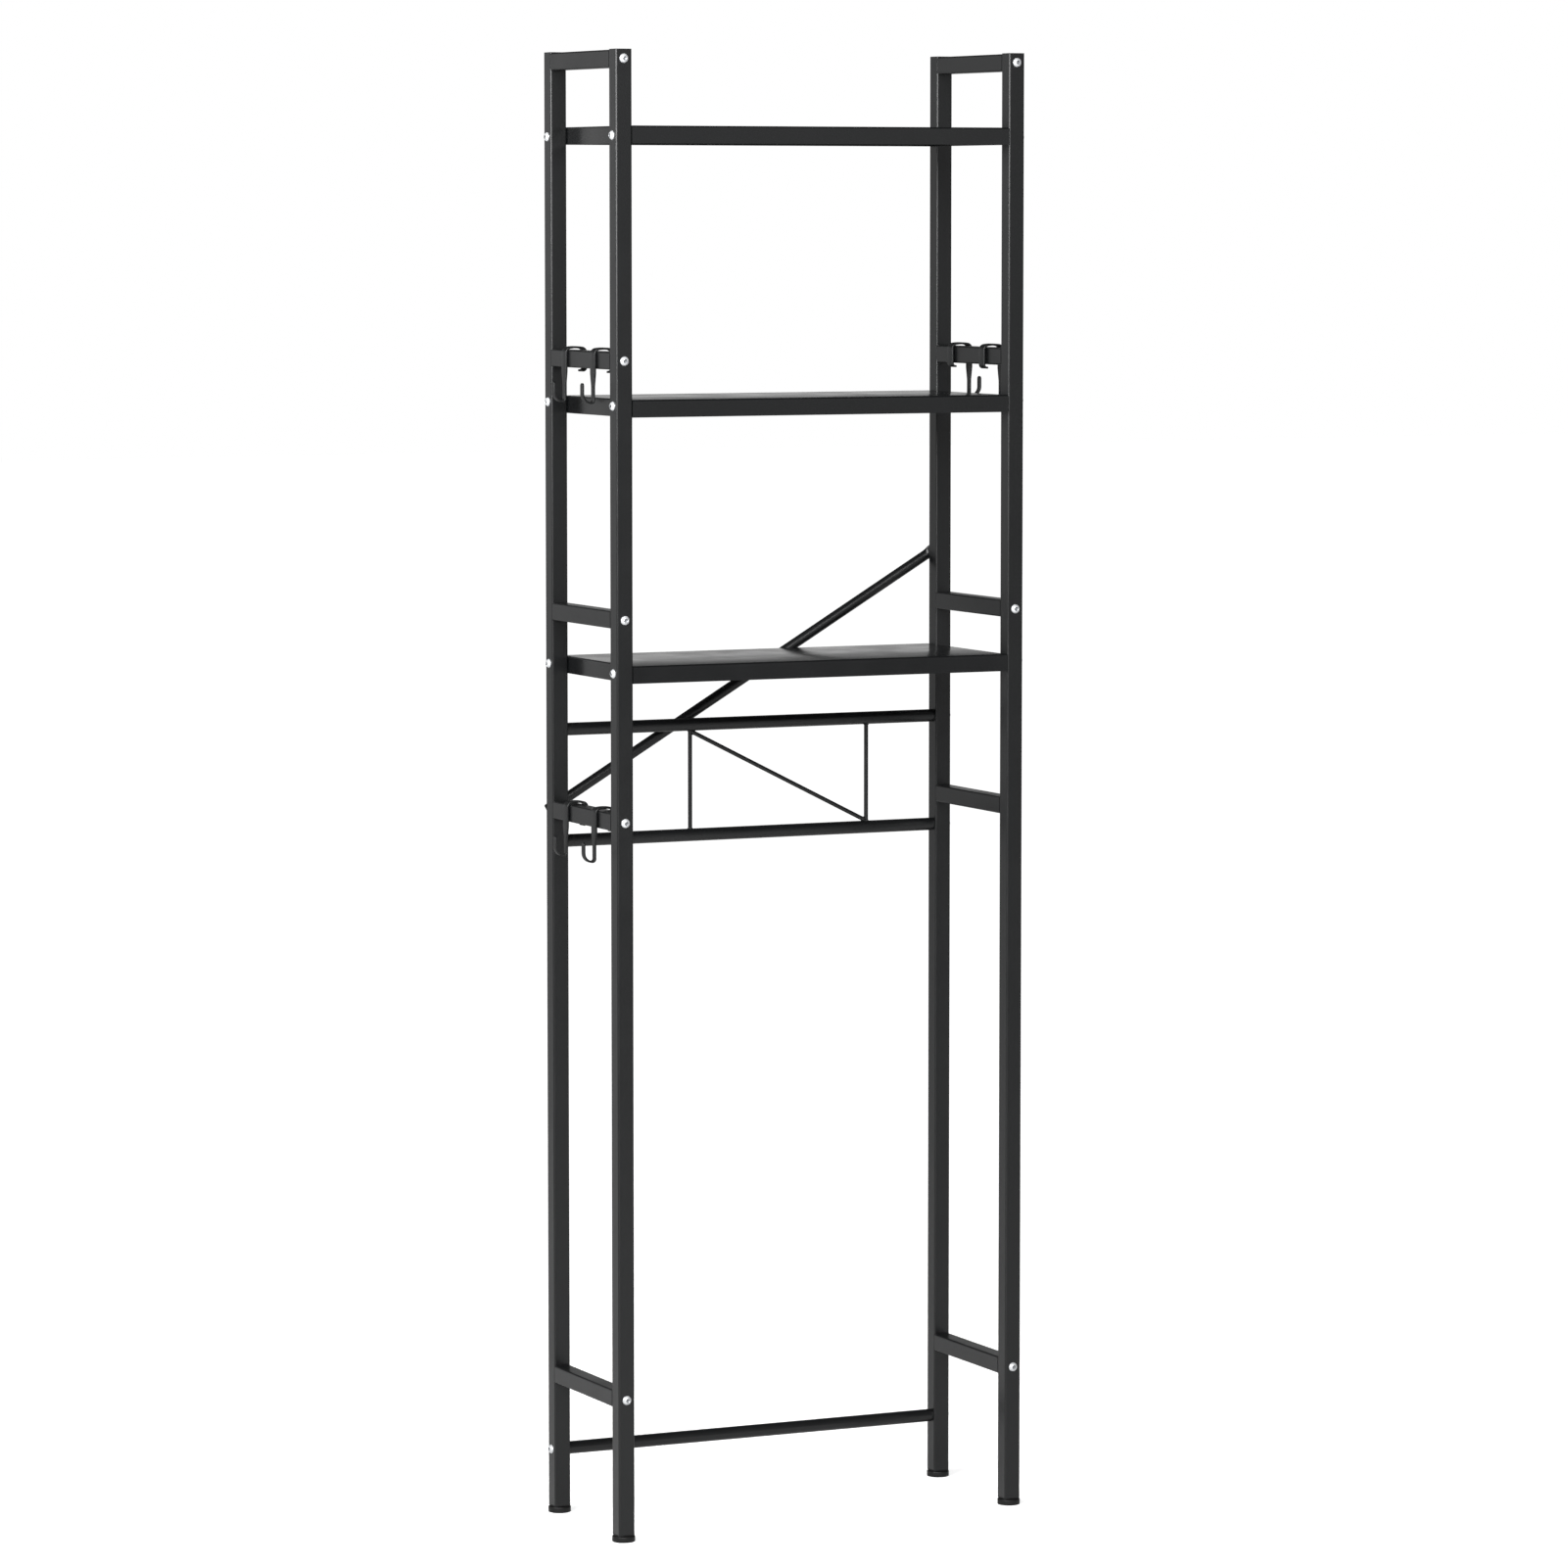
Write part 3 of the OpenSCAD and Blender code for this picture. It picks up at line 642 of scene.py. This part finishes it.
class RACK_OT_hooks(bpy.types.Operator):
    """Bends the hooks from strip and hangs one on each of its places on the rails"""
    bl_idname = "rack.hooks"
    bl_label = "Hooks"

    def execute(self, context):
        sizes = context.scene.rack_hook_sizes
        first, rail = next(iter(HOOKS.items()))
        pattern = bent_strip(sizes, size_of(rail).x, context.scene.rack_fastener_sizes.corner,
                             size_of(first).y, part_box(rail)[1].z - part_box(first)[0].z)
        for node, rail in HOOKS.items():
            rail_low, rail_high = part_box(rail)
            centre = middle(node)
            side = math.copysign(1, centre.x)
            outer_x = rail_high.x if side > 0 else rail_low.x
            place = (Matrix.Translation((outer_x, centre.y, rail_high.z))
                     @ Matrix.Diagonal((side, 1, 1, 1)))
            piece = placed_copy(pattern, place, f"{node}_strip")
            hand_over(piece, node, STRIP_COAT, "hook_coat", node)
        drop(pattern)
        return {"FINISHED"}


# ---- Operators: diagonal brace ----

def extrude_rings(rings):
    """Extrudes the selected ring through (x, half width, half depth, height) sections."""
    for (x0, width0, depth0, z0), (x1, width1, depth1, z1) in zip(rings, rings[1:]):
        bpy.ops.mesh.extrude_edges_move(TRANSFORM_OT_translate={"value": (x1 - x0, 0, z1 - z0)})
        bpy.ops.transform.resize(value=(1, width1 / width0, depth1 / depth0),
                                 center_override=(x1, 0, z1))


def crushed_tube(sizes, tube_r, tab_w, reach):
    """Half of the brace along X: round at x = 0, crushed to a flat tab about its hole at -reach.

    The tab lies on z = 0 and the round tube stands clear of it.
    """
    tube_z = sizes.clear + tube_r
    tube = Vector((tube_r, tube_r, tube_z))
    tab = Vector((tab_w, sizes.tab, sizes.tab)) / 2
    neck_end = -reach + sizes.flat
    clear_selection()
    bpy.ops.mesh.primitive_circle_add(vertices=40, radius=tube_r, location=(0, 0, tube_z),
                                      rotation=(0, math.pi / 2, 0))
    bpy.ops.object.transform_apply(location=True, rotation=True, scale=True)
    edit()

    steps = 12
    rings = [(0, *tube)]
    for k in range(steps + 1):
        share = k / steps
        eased = share * share * (3 - 2 * share)
        rings.append((neck_end + sizes.neck * (1 - share), *tube.lerp(tab, eased)))
    extrude_rings(rings)

    # The tab: its two faces are pressed flat, then it runs past the hole to a sawn end
    flat_w = 0.46 * tab_w
    for level in (0, sizes.tab):
        select("VERT", lambda v: abs(v.co.x - neck_end) < MERGE and abs(v.co.y) < flat_w
               and (v.co.z > tab.z) == (level > tab.z))
        bpy.ops.transform.resize(value=(1, 1, 0), center_override=(0, 0, level))
    select("EDGE", lambda e: all(abs(v.co.x - neck_end) < MERGE for v in e.verts))
    steps = 4
    rings = [(neck_end, *tab)]
    for k in range(steps + 1):
        turn = math.pi / 2 * k / steps
        rings.append((-reach - sizes.lap + sizes.ease * (1 - math.sin(turn)),
                      tab.x - sizes.ease * (1 - math.cos(turn)), tab.y, tab.z))
    extrude_rings(rings)
    bpy.ops.mesh.edge_face_add()
    half = close_edit("crushed_tube")
    finish_with(half, "MIRROR", use_axis=(True, False, False), use_mirror_merge=True,
                merge_threshold=MERGE)
    edit(half)
    outward()
    return close_edit("crushed_tube")


class RACK_OT_brace(bpy.types.Operator):
    """Crushes the ends of the brace tube and lays it across the rear posts"""
    bl_idname = "rack.brace"
    bl_label = "Diagonal brace"

    def execute(self, context):
        sizes = context.scene.rack_brace_sizes
        right_hole, left_hole = [(low + high) / 2 for low, high in solids("brace_screws")]
        along = right_hole - left_hole
        along.y = 0
        reach = along.length / 2
        along.normalize()
        brace = crushed_tube(sizes, sizes.tube / 2, sizes.tube * math.pi / 2, reach)
        hole_r, spare = sizes.hole / 2, sizes.tab
        tool = turned("hole", [(0, -spare), (hole_r, -spare), (hole_r, sizes.tab + spare),
                               (0, sizes.tab + spare)], steps=32)
        tools = [placed_copy(tool, Matrix.Translation((x, 0, 0))) for x in (-reach, reach)]
        drop(tool)
        cut(brace, joined(tools, "holes"))
        outwards = Vector((0, 1, 0))
        turn = Matrix((along, outwards.cross(along), outwards)).transposed().to_4x4()
        seat = (right_hole + left_hole) / 2
        seat.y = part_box("diagonal_brace")[0].y
        piece = placed_copy(brace, Matrix.Translation(seat) @ turn, "diagonal_brace_tube")
        drop(brace)
        hand_over(piece, "frame", TUBE_COAT, "frame_coat", "diagonal_brace")
        return {"FINISHED"}


# ---- Operators: screws and nuts ----

def button_head(sizes, radius):
    """A button head standing on z = 0, with a hex socket sunk into its dome."""
    socket_r = sizes.socket / 2 / HEX
    land = socket_r + sizes.land
    head, rim = sizes.head, sizes.rim
    dome_z = (land ** 2 + head ** 2 - radius ** 2 - rim ** 2) / (2 * (head - rim))
    dome_r = math.hypot(land, head - dome_z)
    start = math.degrees(math.atan2(rim - dome_z, radius))
    end = math.degrees(math.atan2(head - dome_z, land))
    edge = 0.15 * MM
    outline = [(0, 0), (radius - edge, 0), (radius, edge)]
    outline += arc((0, dome_z), dome_r, start, end, steps=10) + [(0, head)]
    made = turned("button_head", outline)
    floor = head - sizes.socket_depth
    lead = 0.25 * MM
    socket = turned("hex_socket", [
        (0, floor - 2 * lead), (socket_r, floor), (socket_r, head - lead),
        (socket_r + 2 * lead, head + lead), (0, head + lead),
    ], steps=6)
    return cut(made, socket)


def button_screw(sizes, radius, reach):
    """A button-head screw about Z: its head above z = 0 and its thread below."""
    sunk, tip = 0.3 * MM, 0.75 * MM
    shank = threaded("button_screw", sizes.shank / 2, sizes.pitch, -reach, sunk, tip)
    screw = cut(shank, button_head(sizes, radius), "UNION")
    edit(screw)
    bpy.ops.mesh.dissolve_degenerate(threshold=MERGE)
    close_edit("button_screw")
    for kind in (ZINC, SOCKET_SHADE_ZINC):
        screw.data.materials.append(material_of(kind))
    # The socket's faces, which get the darker zinc as painted shade, lie within its corners,
    # a little past half its width across flats
    for face in screw.data.polygons:
        inside = face.center.xy.length < 0.55 * sizes.socket
        face.material_index = int(inside and sunk < face.center.z < sizes.head)
    return screw


class RACK_OT_screws(bpy.types.Operator):
    """Drives a button-head screw into each of its holes"""
    bl_idname = "rack.screws"
    bl_label = "Screws"

    def execute(self, context):
        sizes = context.scene.rack_fastener_sizes
        patterns = {}
        turn, turn_step = 0, 23
        for node in SCREW_SETS:
            copies = []
            for seat, direction, reach in screw_places(node, sizes.head):
                size = round(reach / MM, 1)
                if size not in patterns:
                    patterns[size] = button_screw(sizes, sizes.head_d / 2, reach)
                turn += turn_step
                place = Matrix.Translation(seat) @ facing(direction, turn)
                copies.append(placed_copy(patterns[size], place))
            piece = joined(copies, node.replace("screws", "button_screws"))
            hand_over(piece, "frame", ZINC, "zinc_steel", node)
        for pattern in patterns.values():
            drop(pattern)
        return {"FINISHED"}


def weld_nut(sizes, flats, thickness):
    """A hex nut from z = 0 up, its corners chamfered, its bore just clear of a screw's thread."""
    corner = flats / 2 / HEX
    spare = 0.2 * MM
    nut = turned("weld_nut", [(0, -spare), (corner, -spare), (corner, thickness + spare),
                              (0, thickness + spare)], steps=6)
    face = 0.48 * flats
    fall = (corner - face) * math.tan(math.radians(30))
    rounding = turned("rounding", [
        (0, 0), (face, 0), (corner, fall), (corner + spare, fall + spare),
        (corner + spare, thickness - fall - spare), (corner, thickness - fall),
        (face, thickness), (0, thickness),
    ])
    cut(nut, rounding, "INTERSECT")
    bore = sizes.shank / 2 + 0.05 * MM
    lead = 0.4 * MM
    tool = turned("nut_bore", [
        (0, -spare), (bore + lead + spare, -spare), (bore, lead), (bore, thickness - lead),
        (bore + lead + spare, thickness + spare), (0, thickness + spare),
    ], steps=32)
    return cut(nut, tool)


class RACK_OT_nuts(bpy.types.Operator):
    """Sets the nuts behind the shelves' side flanges and plates the brace's rivet nut"""
    bl_idname = "rack.nuts"
    bl_label = "Nuts"

    def execute(self, context):
        sizes = context.scene.rack_fastener_sizes
        boxes = solids("shelf_nuts")
        size = boxes[0][1] - boxes[0][0]
        pattern = weld_nut(sizes, size.z, size.x)
        copies = []
        for low, high in boxes:
            side = math.copysign(1, low.x)
            seat = (low + high) / 2
            seat.x = high.x if side > 0 else low.x
            copies.append(placed_copy(
                pattern, Matrix.Translation(seat) @ facing((-side, 0, 0), 90)))
        drop(pattern)
        hand_over(joined(copies, "shelf_weld_nuts"), "frame", ZINC, "zinc_steel", "shelf_nuts")
        coat_node("brace_rivet_nut", ZINC)
        return {"FINISHED"}


# ---- Operators: moulded pieces ----

def barbs(width, count, height, bite):
    """Extrudes the selected square face along +Z or -Z as a plug with barbed fins."""
    tall = height / count
    slim = (width - 2 * bite) / width
    # Each barb is a slim neck, a short slope out and a fin that tapers to the next neck
    for k in range(count):
        bpy.ops.transform.resize(value=(slim, slim, 1), center_override=(0, 0, 0))
        for share, scale in ((0.45, 1), (0.1, 1 / slim), (0.45, 1)):
            bpy.ops.mesh.extrude_region_move(
                TRANSFORM_OT_translate={"value": (0, 0, tall * share)})
            bpy.ops.transform.resize(value=(scale, scale, 1), center_override=(0, 0, 0))


def foot(sizes, radius, top):
    """A levelling foot standing on z = 0: a round pad moulded round a threaded stud."""
    pad = sizes.pad
    hollow, rim, lower, upper = 0.5 * MM, 4 * MM, 0.6 * MM, 1.2 * MM
    outline = [(0, hollow), (radius - rim, hollow), (radius - rim - hollow, 0)]
    outline += arc((radius - lower, lower), lower, 270, 360, steps=4)
    outline += arc((radius - upper, pad - upper), upper, 0, 90, steps=8) + [(0, pad)]
    made = turned("foot", outline, steps=64)
    sunk, tip = 0.3 * MM, 0.6 * MM
    stud = threaded("stud", sizes.stud / 2, sizes.stud_pitch, -top, sunk - pad, tip)
    stud.data.transform(Matrix.Rotation(math.pi, 4, "X"))
    return cut(made, stud, "UNION")


class RACK_OT_feet(bpy.types.Operator):
    """Moulds the four levelling feet and screws one into each post"""
    bl_idname = "rack.feet"
    bl_label = "Levelling feet"

    def execute(self, context):
        sizes = context.scene.rack_fastener_sizes
        node = "left_front_foot"
        pattern = foot(sizes, size_of(node).x / 2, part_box(node)[1].z)
        turn_step = math.radians(40)
        for k, post in enumerate(POSTS):
            node = f"{post}_foot"
            centre = middle(node)
            place = (Matrix.Translation((centre.x, centre.y, 0))
                     @ Matrix.Rotation(turn_step * k, 4, "Z"))
            piece = placed_copy(pattern, place, f"{node}_pad")
            hand_over(piece, node, PLASTIC, "foot_plastic", node)
        drop(pattern)
        return {"FINISHED"}


def insert(sizes, flange_w, plug_w, height):
    """A post's lower insert from z = 0 up: a square flange and a barbed plug with a bore."""
    square_plate(flange_w, sizes.flange, sizes.corner)
    select("FACE", lambda f: f.normal.z > 0.9)
    bpy.ops.mesh.inset(thickness=(flange_w - plug_w) / 2, use_boundary=True)
    barbs(plug_w, count=4, height=height - sizes.flange, bite=0.5 * MM)
    outward()
    made = close_edit("insert")
    bore = sizes.stud / 2 + 0.05 * MM
    spare, lead = MM, 0.5 * MM
    tool = turned("bore", [(0, -spare), (bore + spare, -spare), (bore, lead),
                           (bore, height + spare), (0, height + spare)])
    return cut(made, tool)


def cap(sizes, cap_w, plug_w, depth):
    """A post's top cap about z = 0: a thin square lid over a hollow barbed plug."""
    square_plate(cap_w, sizes.cap, sizes.corner)
    select("FACE", lambda f: f.normal.z > 0.9)
    bpy.ops.mesh.bevel(offset=0.45 * sizes.cap, segments=3)
    select("FACE", lambda f: f.normal.z < -0.9)
    bpy.ops.mesh.inset(thickness=(cap_w - plug_w) / 2, use_boundary=True)
    barbs(plug_w, count=2, height=-depth, bite=0.4 * MM)
    wall, lid = 2 * MM, 0.2 * MM
    bpy.ops.mesh.inset(thickness=wall, use_boundary=True)
    bpy.ops.mesh.extrude_region_move(TRANSFORM_OT_translate={"value": (0, 0, depth - lid)})
    outward()
    return close_edit("cap")


class RACK_OT_ends(bpy.types.Operator):
    """Moulds the posts' top caps and lower inserts"""
    bl_idname = "rack.ends"
    bl_label = "Caps and inserts"

    def execute(self, context):
        sizes = context.scene.rack_fastener_sizes
        wide = size_of("left_front_post").x
        fit = 0.2 * MM
        plug_w = wide - 2 * sizes.wall - fit
        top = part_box("left_front_post")[1].z
        insert_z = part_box("left_front_insert")[0].z
        patterns = {
            "insert": (insert(sizes, wide, plug_w, size_of("left_front_insert").z),
                       insert_z, "flanged_insert"),
            "cap": (cap(sizes, wide, plug_w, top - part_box("left_front_cap")[0].z),
                    top, "square_cap"),
        }
        for kind, (pattern, height, name) in patterns.items():
            for post in POSTS:
                centre = middle(f"{post}_post")
                place = Matrix.Translation((centre.x, centre.y, height))
                piece = placed_copy(pattern, place, f"{post}_{name}")
                hand_over(piece, "frame", PLASTIC, "black_plastic", f"{post}_{kind}")
            drop(pattern)
        for node in PLUG_SETS:
            coat_node(node, PLASTIC)
        return {"FINISHED"}


# ---- Operators: welds ----

def ring_bead(radius, thick):
    """A weld bead round a rod, rippled where each drop of metal froze."""
    clear_selection()
    bpy.ops.mesh.primitive_torus_add(major_segments=36, minor_segments=10, major_radius=radius,
                                     minor_radius=thick)
    edit()
    # Every third of the ring's sections stands proud
    select("VERT", lambda v: round(math.degrees(math.atan2(v.co.y, v.co.x)) / 10) % 3 == 0)
    bpy.ops.transform.resize(value=(1.05, 1.05, 1.15), center_override=(0, 0, 0))
    return close_edit("ring_bead")


def straight_bead(reach, thick):
    """A weld bead along Z, centred on the origin, rippled and round at both ends."""
    steps, ripples, ripple = 24, 8, 0.08
    blunt = math.radians(20)
    outline = [(0, -reach / 2 - thick)]
    for k in range(steps + 1):
        share = k / steps
        swell = thick * (1 - ripple + ripple * math.cos(math.tau * ripples * share))
        # A half turn's sine, less its blunt ends; the fourth root keeps the bead full
        arch = math.sin(blunt + (math.pi - 2 * blunt) * share) ** 0.25
        outline.append((swell * arch, (share - 0.5) * reach))
    outline.append((0, reach / 2 + thick))
    return turned("straight_bead", outline, steps=12)


class RACK_OT_welds(bpy.types.Operator):
    """Lays the small coated weld beads where no screw holds a joint"""
    bl_idname = "rack.welds"
    bl_label = "Weld beads"

    def execute(self, context):
        thick = context.scene.rack_fastener_sizes.weld
        sunk = 0.3 * thick
        tubes = ("truss_top_tube", "truss_bottom_tube")
        top_z, bottom_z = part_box(tubes[0])[0].z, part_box(tubes[1])[1].z
        rods = [middle("truss_left_rod"), middle("truss_right_rod")]
        rod_r = size_of("truss_left_rod").x / 2
        around_rod = ring_bead(rod_r, thick)
        around_tube = ring_bead(size_of(tubes[0]).z / 2, thick)
        beads = [(around_rod, Matrix.Translation((rod.x, rod.y, z)))
                 for rod in rods for z in (top_z - sunk, bottom_z + sunk)]
        start = Vector((rods[0].x, rods[0].y, top_z))
        end = Vector((rods[1].x, rods[0].y, bottom_z))
        along = (end - start).normalized()
        for corner, way in ((start, 1), (end, -1)):
            beads.append((around_rod, Matrix.Translation(corner + way * 2 * rod_r * along)
                          @ facing(along)))
        for node in tubes:
            seat = middle(node)
            seat.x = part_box(node)[0].x + sunk
            beads.append((around_tube, Matrix.Translation(seat) @ facing((1, 0, 0))))
        copies = [placed_copy(pattern, place) for pattern, place in beads]
        hand_over(joined(copies, "truss_weld_beads"), "frame", TUBE_COAT, "frame_coat")
        drop(around_rod)
        drop(around_tube)

        bead = straight_bead(0.8 * size_of("right_hook_rail").x, thick)
        copies = []
        for node in ("right_hook_rail", "right_lower_rail"):
            low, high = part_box(node)
            for y in (low.y, high.y):
                for z in (low.z, high.z):
                    place = Matrix.Translation(((low.x + high.x) / 2, y, z)) @ facing((1, 0, 0))
                    copies.append(placed_copy(bead, place))
        hand_over(joined(copies, "rail_weld_beads"), "frame", TUBE_COAT, "frame_coat")
        drop(bead)
        return {"FINISHED"}


# ---- Operator: stage ----

# What gloss sees of the studio, as shares of its brightness. Each row has a direction, the
# cosines to it between which the share changes, and the share before and after
STUDIO = {
    "pale walls up to eye height, then a dim ceiling": ((0, 0, 1), 0.08, 0.22, 1.0, 0.15),
    "dimmer rear": ((0, 1, 0), -0.6, 0.6, 0.7, 0.42),
    "dark right side": ((1, 0, 0), 0.55, 0.85, 1.0, 0.1),
    "backdrop lit brighter straight behind the rack": ((0.43, 0.9, 0), 0.7, 0.95, 1.0, 1.85),
}
FILL = 0.5  # The plain light that falls on the rack from every side

CAMERA_PLACE = (-3.1758, -6.72705, 1.5309)
CAMERA_DOWN, CAMERA_TURN = 5.17, -25.28  # Degrees below level, and about Z from facing +Y
CAMERA_LENS, CAMERA_SENSOR = 146.55, 36  # Millimetres


def sky():
    """A white studio seen by the camera and by gloss, with a plain even fill on the rack."""
    world = bpy.data.worlds.new("white_studio")
    bpy.context.scene.world = world
    world.use_nodes = True
    tree = world.node_tree
    path = add_node(tree, "ShaderNodeLightPath").outputs
    way = add_node(tree, "ShaderNodeTexCoord").outputs["Generated"]
    studio = 1.0
    for direction, start, end, before, after in STUDIO.values():
        cosine = add_node(tree, "ShaderNodeVectorMath", {"operation": "DOT_PRODUCT"}, {
            0: way, 1: direction})
        share = add_node(tree, "ShaderNodeMapRange", {"interpolation_type": "SMOOTHSTEP"}, {
            "Value": cosine.outputs["Value"], "From Min": start, "From Max": end,
            "To Min": before, "To Max": after})
        studio = add_node(tree, "ShaderNodeMath", {"operation": "MULTIPLY"}, {
            0: studio, 1: share.outputs["Result"]}).outputs[0]
    sharp = add_node(tree, "ShaderNodeMath", {"operation": "MAXIMUM"}, {
        0: path["Is Glossy Ray"], 1: path["Is Transmission Ray"]})
    fill = add_node(tree, "ShaderNodeMix", {"data_type": "FLOAT"}, {
        "Factor": sharp.outputs[0], "A": FILL, "B": studio})
    seen = add_node(tree, "ShaderNodeMix", {"data_type": "FLOAT"}, {
        "Factor": path["Is Camera Ray"], "A": fill.outputs[0], "B": 1.0})
    tree.links.new(seen.outputs[0], tree.nodes["Background"].inputs["Strength"])
    tree.nodes["Background"].inputs["Color"].default_value = (1, 1, 1, 1)


def floor_finish(rgb):
    """Matt white studio floor: the camera sees it almost white, with the rack's soft shadow."""
    material = bpy.data.materials.new("Matt studio floor")
    material.use_nodes = True
    tree = material.node_tree
    tree.nodes.clear()
    path = add_node(tree, "ShaderNodeLightPath").outputs
    # Gloss sees a greyer floor, as the real one falls away into its own shade
    tone = add_node(tree, "ShaderNodeMix", {"data_type": "RGBA"}, {
        "Factor": path["Is Camera Ray"], 6: shaded(rgb, 0.6), 7: shaded(rgb, 1)})
    paint = add_node(tree, "ShaderNodeBsdfDiffuse", inputs={"Color": tone.outputs[2]})
    # The lamps fade with distance, and the camera's lift makes up for it
    place = add_node(tree, "ShaderNodeTexCoord").outputs["Object"]
    away = add_node(tree, "ShaderNodeVectorMath", {"operation": "LENGTH"}, {0: place})
    glow = add_node(tree, "ShaderNodeMapRange", inputs={
        "Value": away.outputs["Value"], "From Min": 0.6, "From Max": 3.0, "To Min": 0.3,
        "To Max": 0.58}).outputs["Result"]
    lift = add_node(tree, "ShaderNodeMath", {"operation": "MULTIPLY"}, {
        0: path["Is Camera Ray"], 1: glow})
    light = add_node(tree, "ShaderNodeEmission", inputs={
        "Color": (1, 1, 1, 1), "Strength": lift.outputs[0]})
    both = add_node(tree, "ShaderNodeAddShader", inputs={0: paint.outputs[0], 1: light.outputs[0]})
    add_node(tree, "ShaderNodeOutputMaterial", inputs={"Surface": both.outputs[0]})
    return material


def softbox(name, place, target, size, watts):
    """A soft rectangular lamp that faces a point."""
    light = bpy.data.lights.new(name, "AREA")
    light.shape = "RECTANGLE"
    light.size, light.size_y = size
    light.energy = watts
    lamp = bpy.data.objects.new(name, light)
    lamp.visible_camera = False
    place = Vector(place)
    lamp.matrix_world = (Matrix.Translation(place)
                         @ (place - Vector(target)).to_track_quat("Z", "Y").to_matrix().to_4x4())
    bpy.context.collection.objects.link(lamp)


class RACK_OT_stage(bpy.types.Operator):
    """Sets the pale floor, the white studio, its lamps and the camera"""
    bl_idname = "rack.stage"
    bl_label = "Stage"

    def execute(self, context):
        scene = context.scene
        clear_selection()
        bpy.ops.mesh.primitive_plane_add(size=60, location=(0, 0, cad_low.z))
        floor = context.object
        floor.name = "studio_floor"
        floor.data.materials.append(floor_finish(scene.rack_colours.floor))
        sky()
        height = cad_high.z
        corner = Vector((cad_low.x, cad_low.y, height))
        away = Vector((-0.904, -0.427, 0)) * 2.2
        softbox("left_softbox", place=corner + away + Vector((0, 0, 0.4)),
                target=corner + Vector((0, 0, 0.1)), size=(2.0, 1.3), watts=110)
        softbox("front_softbox", place=(-1.4, -4.2, 3.1), target=(0, 0, 0.5 * height),
                size=(2.5, 2.5), watts=200)
        softbox("rear_left_card", place=(-1.3, 1.3, 0.5 * height),
                target=(cad_low.x, 0, 0.5 * height), size=(1.4, 2.2), watts=2)

        camera = bpy.data.cameras.new("camera")
        camera.sensor_width = CAMERA_SENSOR
        camera.lens = CAMERA_LENS
        eye = bpy.data.objects.new("camera", camera)
        eye.location = CAMERA_PLACE
        eye.rotation_euler = [math.radians(a) for a in (90 - CAMERA_DOWN, 0, CAMERA_TURN)]
        context.collection.objects.link(eye)
        scene.camera = eye
        scene.view_settings.view_transform = "Standard"
        return {"FINISHED"}


# ---- Panel and start ----

class RACK_PT_panel(bpy.types.Panel):
    """Lists the rack's operators and what can be changed"""
    bl_idname = "RACK_PT_panel"
    bl_label = "Storage rack"
    bl_space_type = "VIEW_3D"
    bl_region_type = "UI"
    bl_category = "Rack"

    def draw(self, context):
        column = self.layout.column(align=True)
        for operator in OPERATORS:
            column.operator(operator.bl_idname)
        for title, group in GROUPS.items():
            self.layout.label(text=title.replace("_", " ").capitalize())
            column = self.layout.column(align=True)
            for name in group.__annotations__:
                column.prop(getattr(context.scene, title), name)


OPERATORS = [RACK_OT_tubes, RACK_OT_shelves, RACK_OT_brace, RACK_OT_hooks, RACK_OT_screws,
             RACK_OT_nuts, RACK_OT_feet, RACK_OT_ends, RACK_OT_welds, RACK_OT_stage]
GROUPS = {"rack_hook_sizes": RackHookSizes, "rack_brace_sizes": RackBraceSizes,
          "rack_fastener_sizes": RackFastenerSizes, "rack_colours": RackColours}


def register():
    for made in [*GROUPS.values(), *OPERATORS, RACK_PT_panel]:
        bpy.utils.register_class(made)
    for name, group in GROUPS.items():
        setattr(bpy.types.Scene, name, bpy.props.PointerProperty(type=group))


def unregister():
    for name in GROUPS:
        delattr(bpy.types.Scene, name)
    for made in [RACK_PT_panel, *reversed(OPERATORS), *reversed(GROUPS.values())]:
        bpy.utils.unregister_class(made)


def main():
    """Models every piece in order."""
    register()
    for operator in OPERATORS:
        group, name = operator.bl_idname.split(".")
        getattr(getattr(bpy.ops, group), name)()


if __name__ == "__main__":
    main()
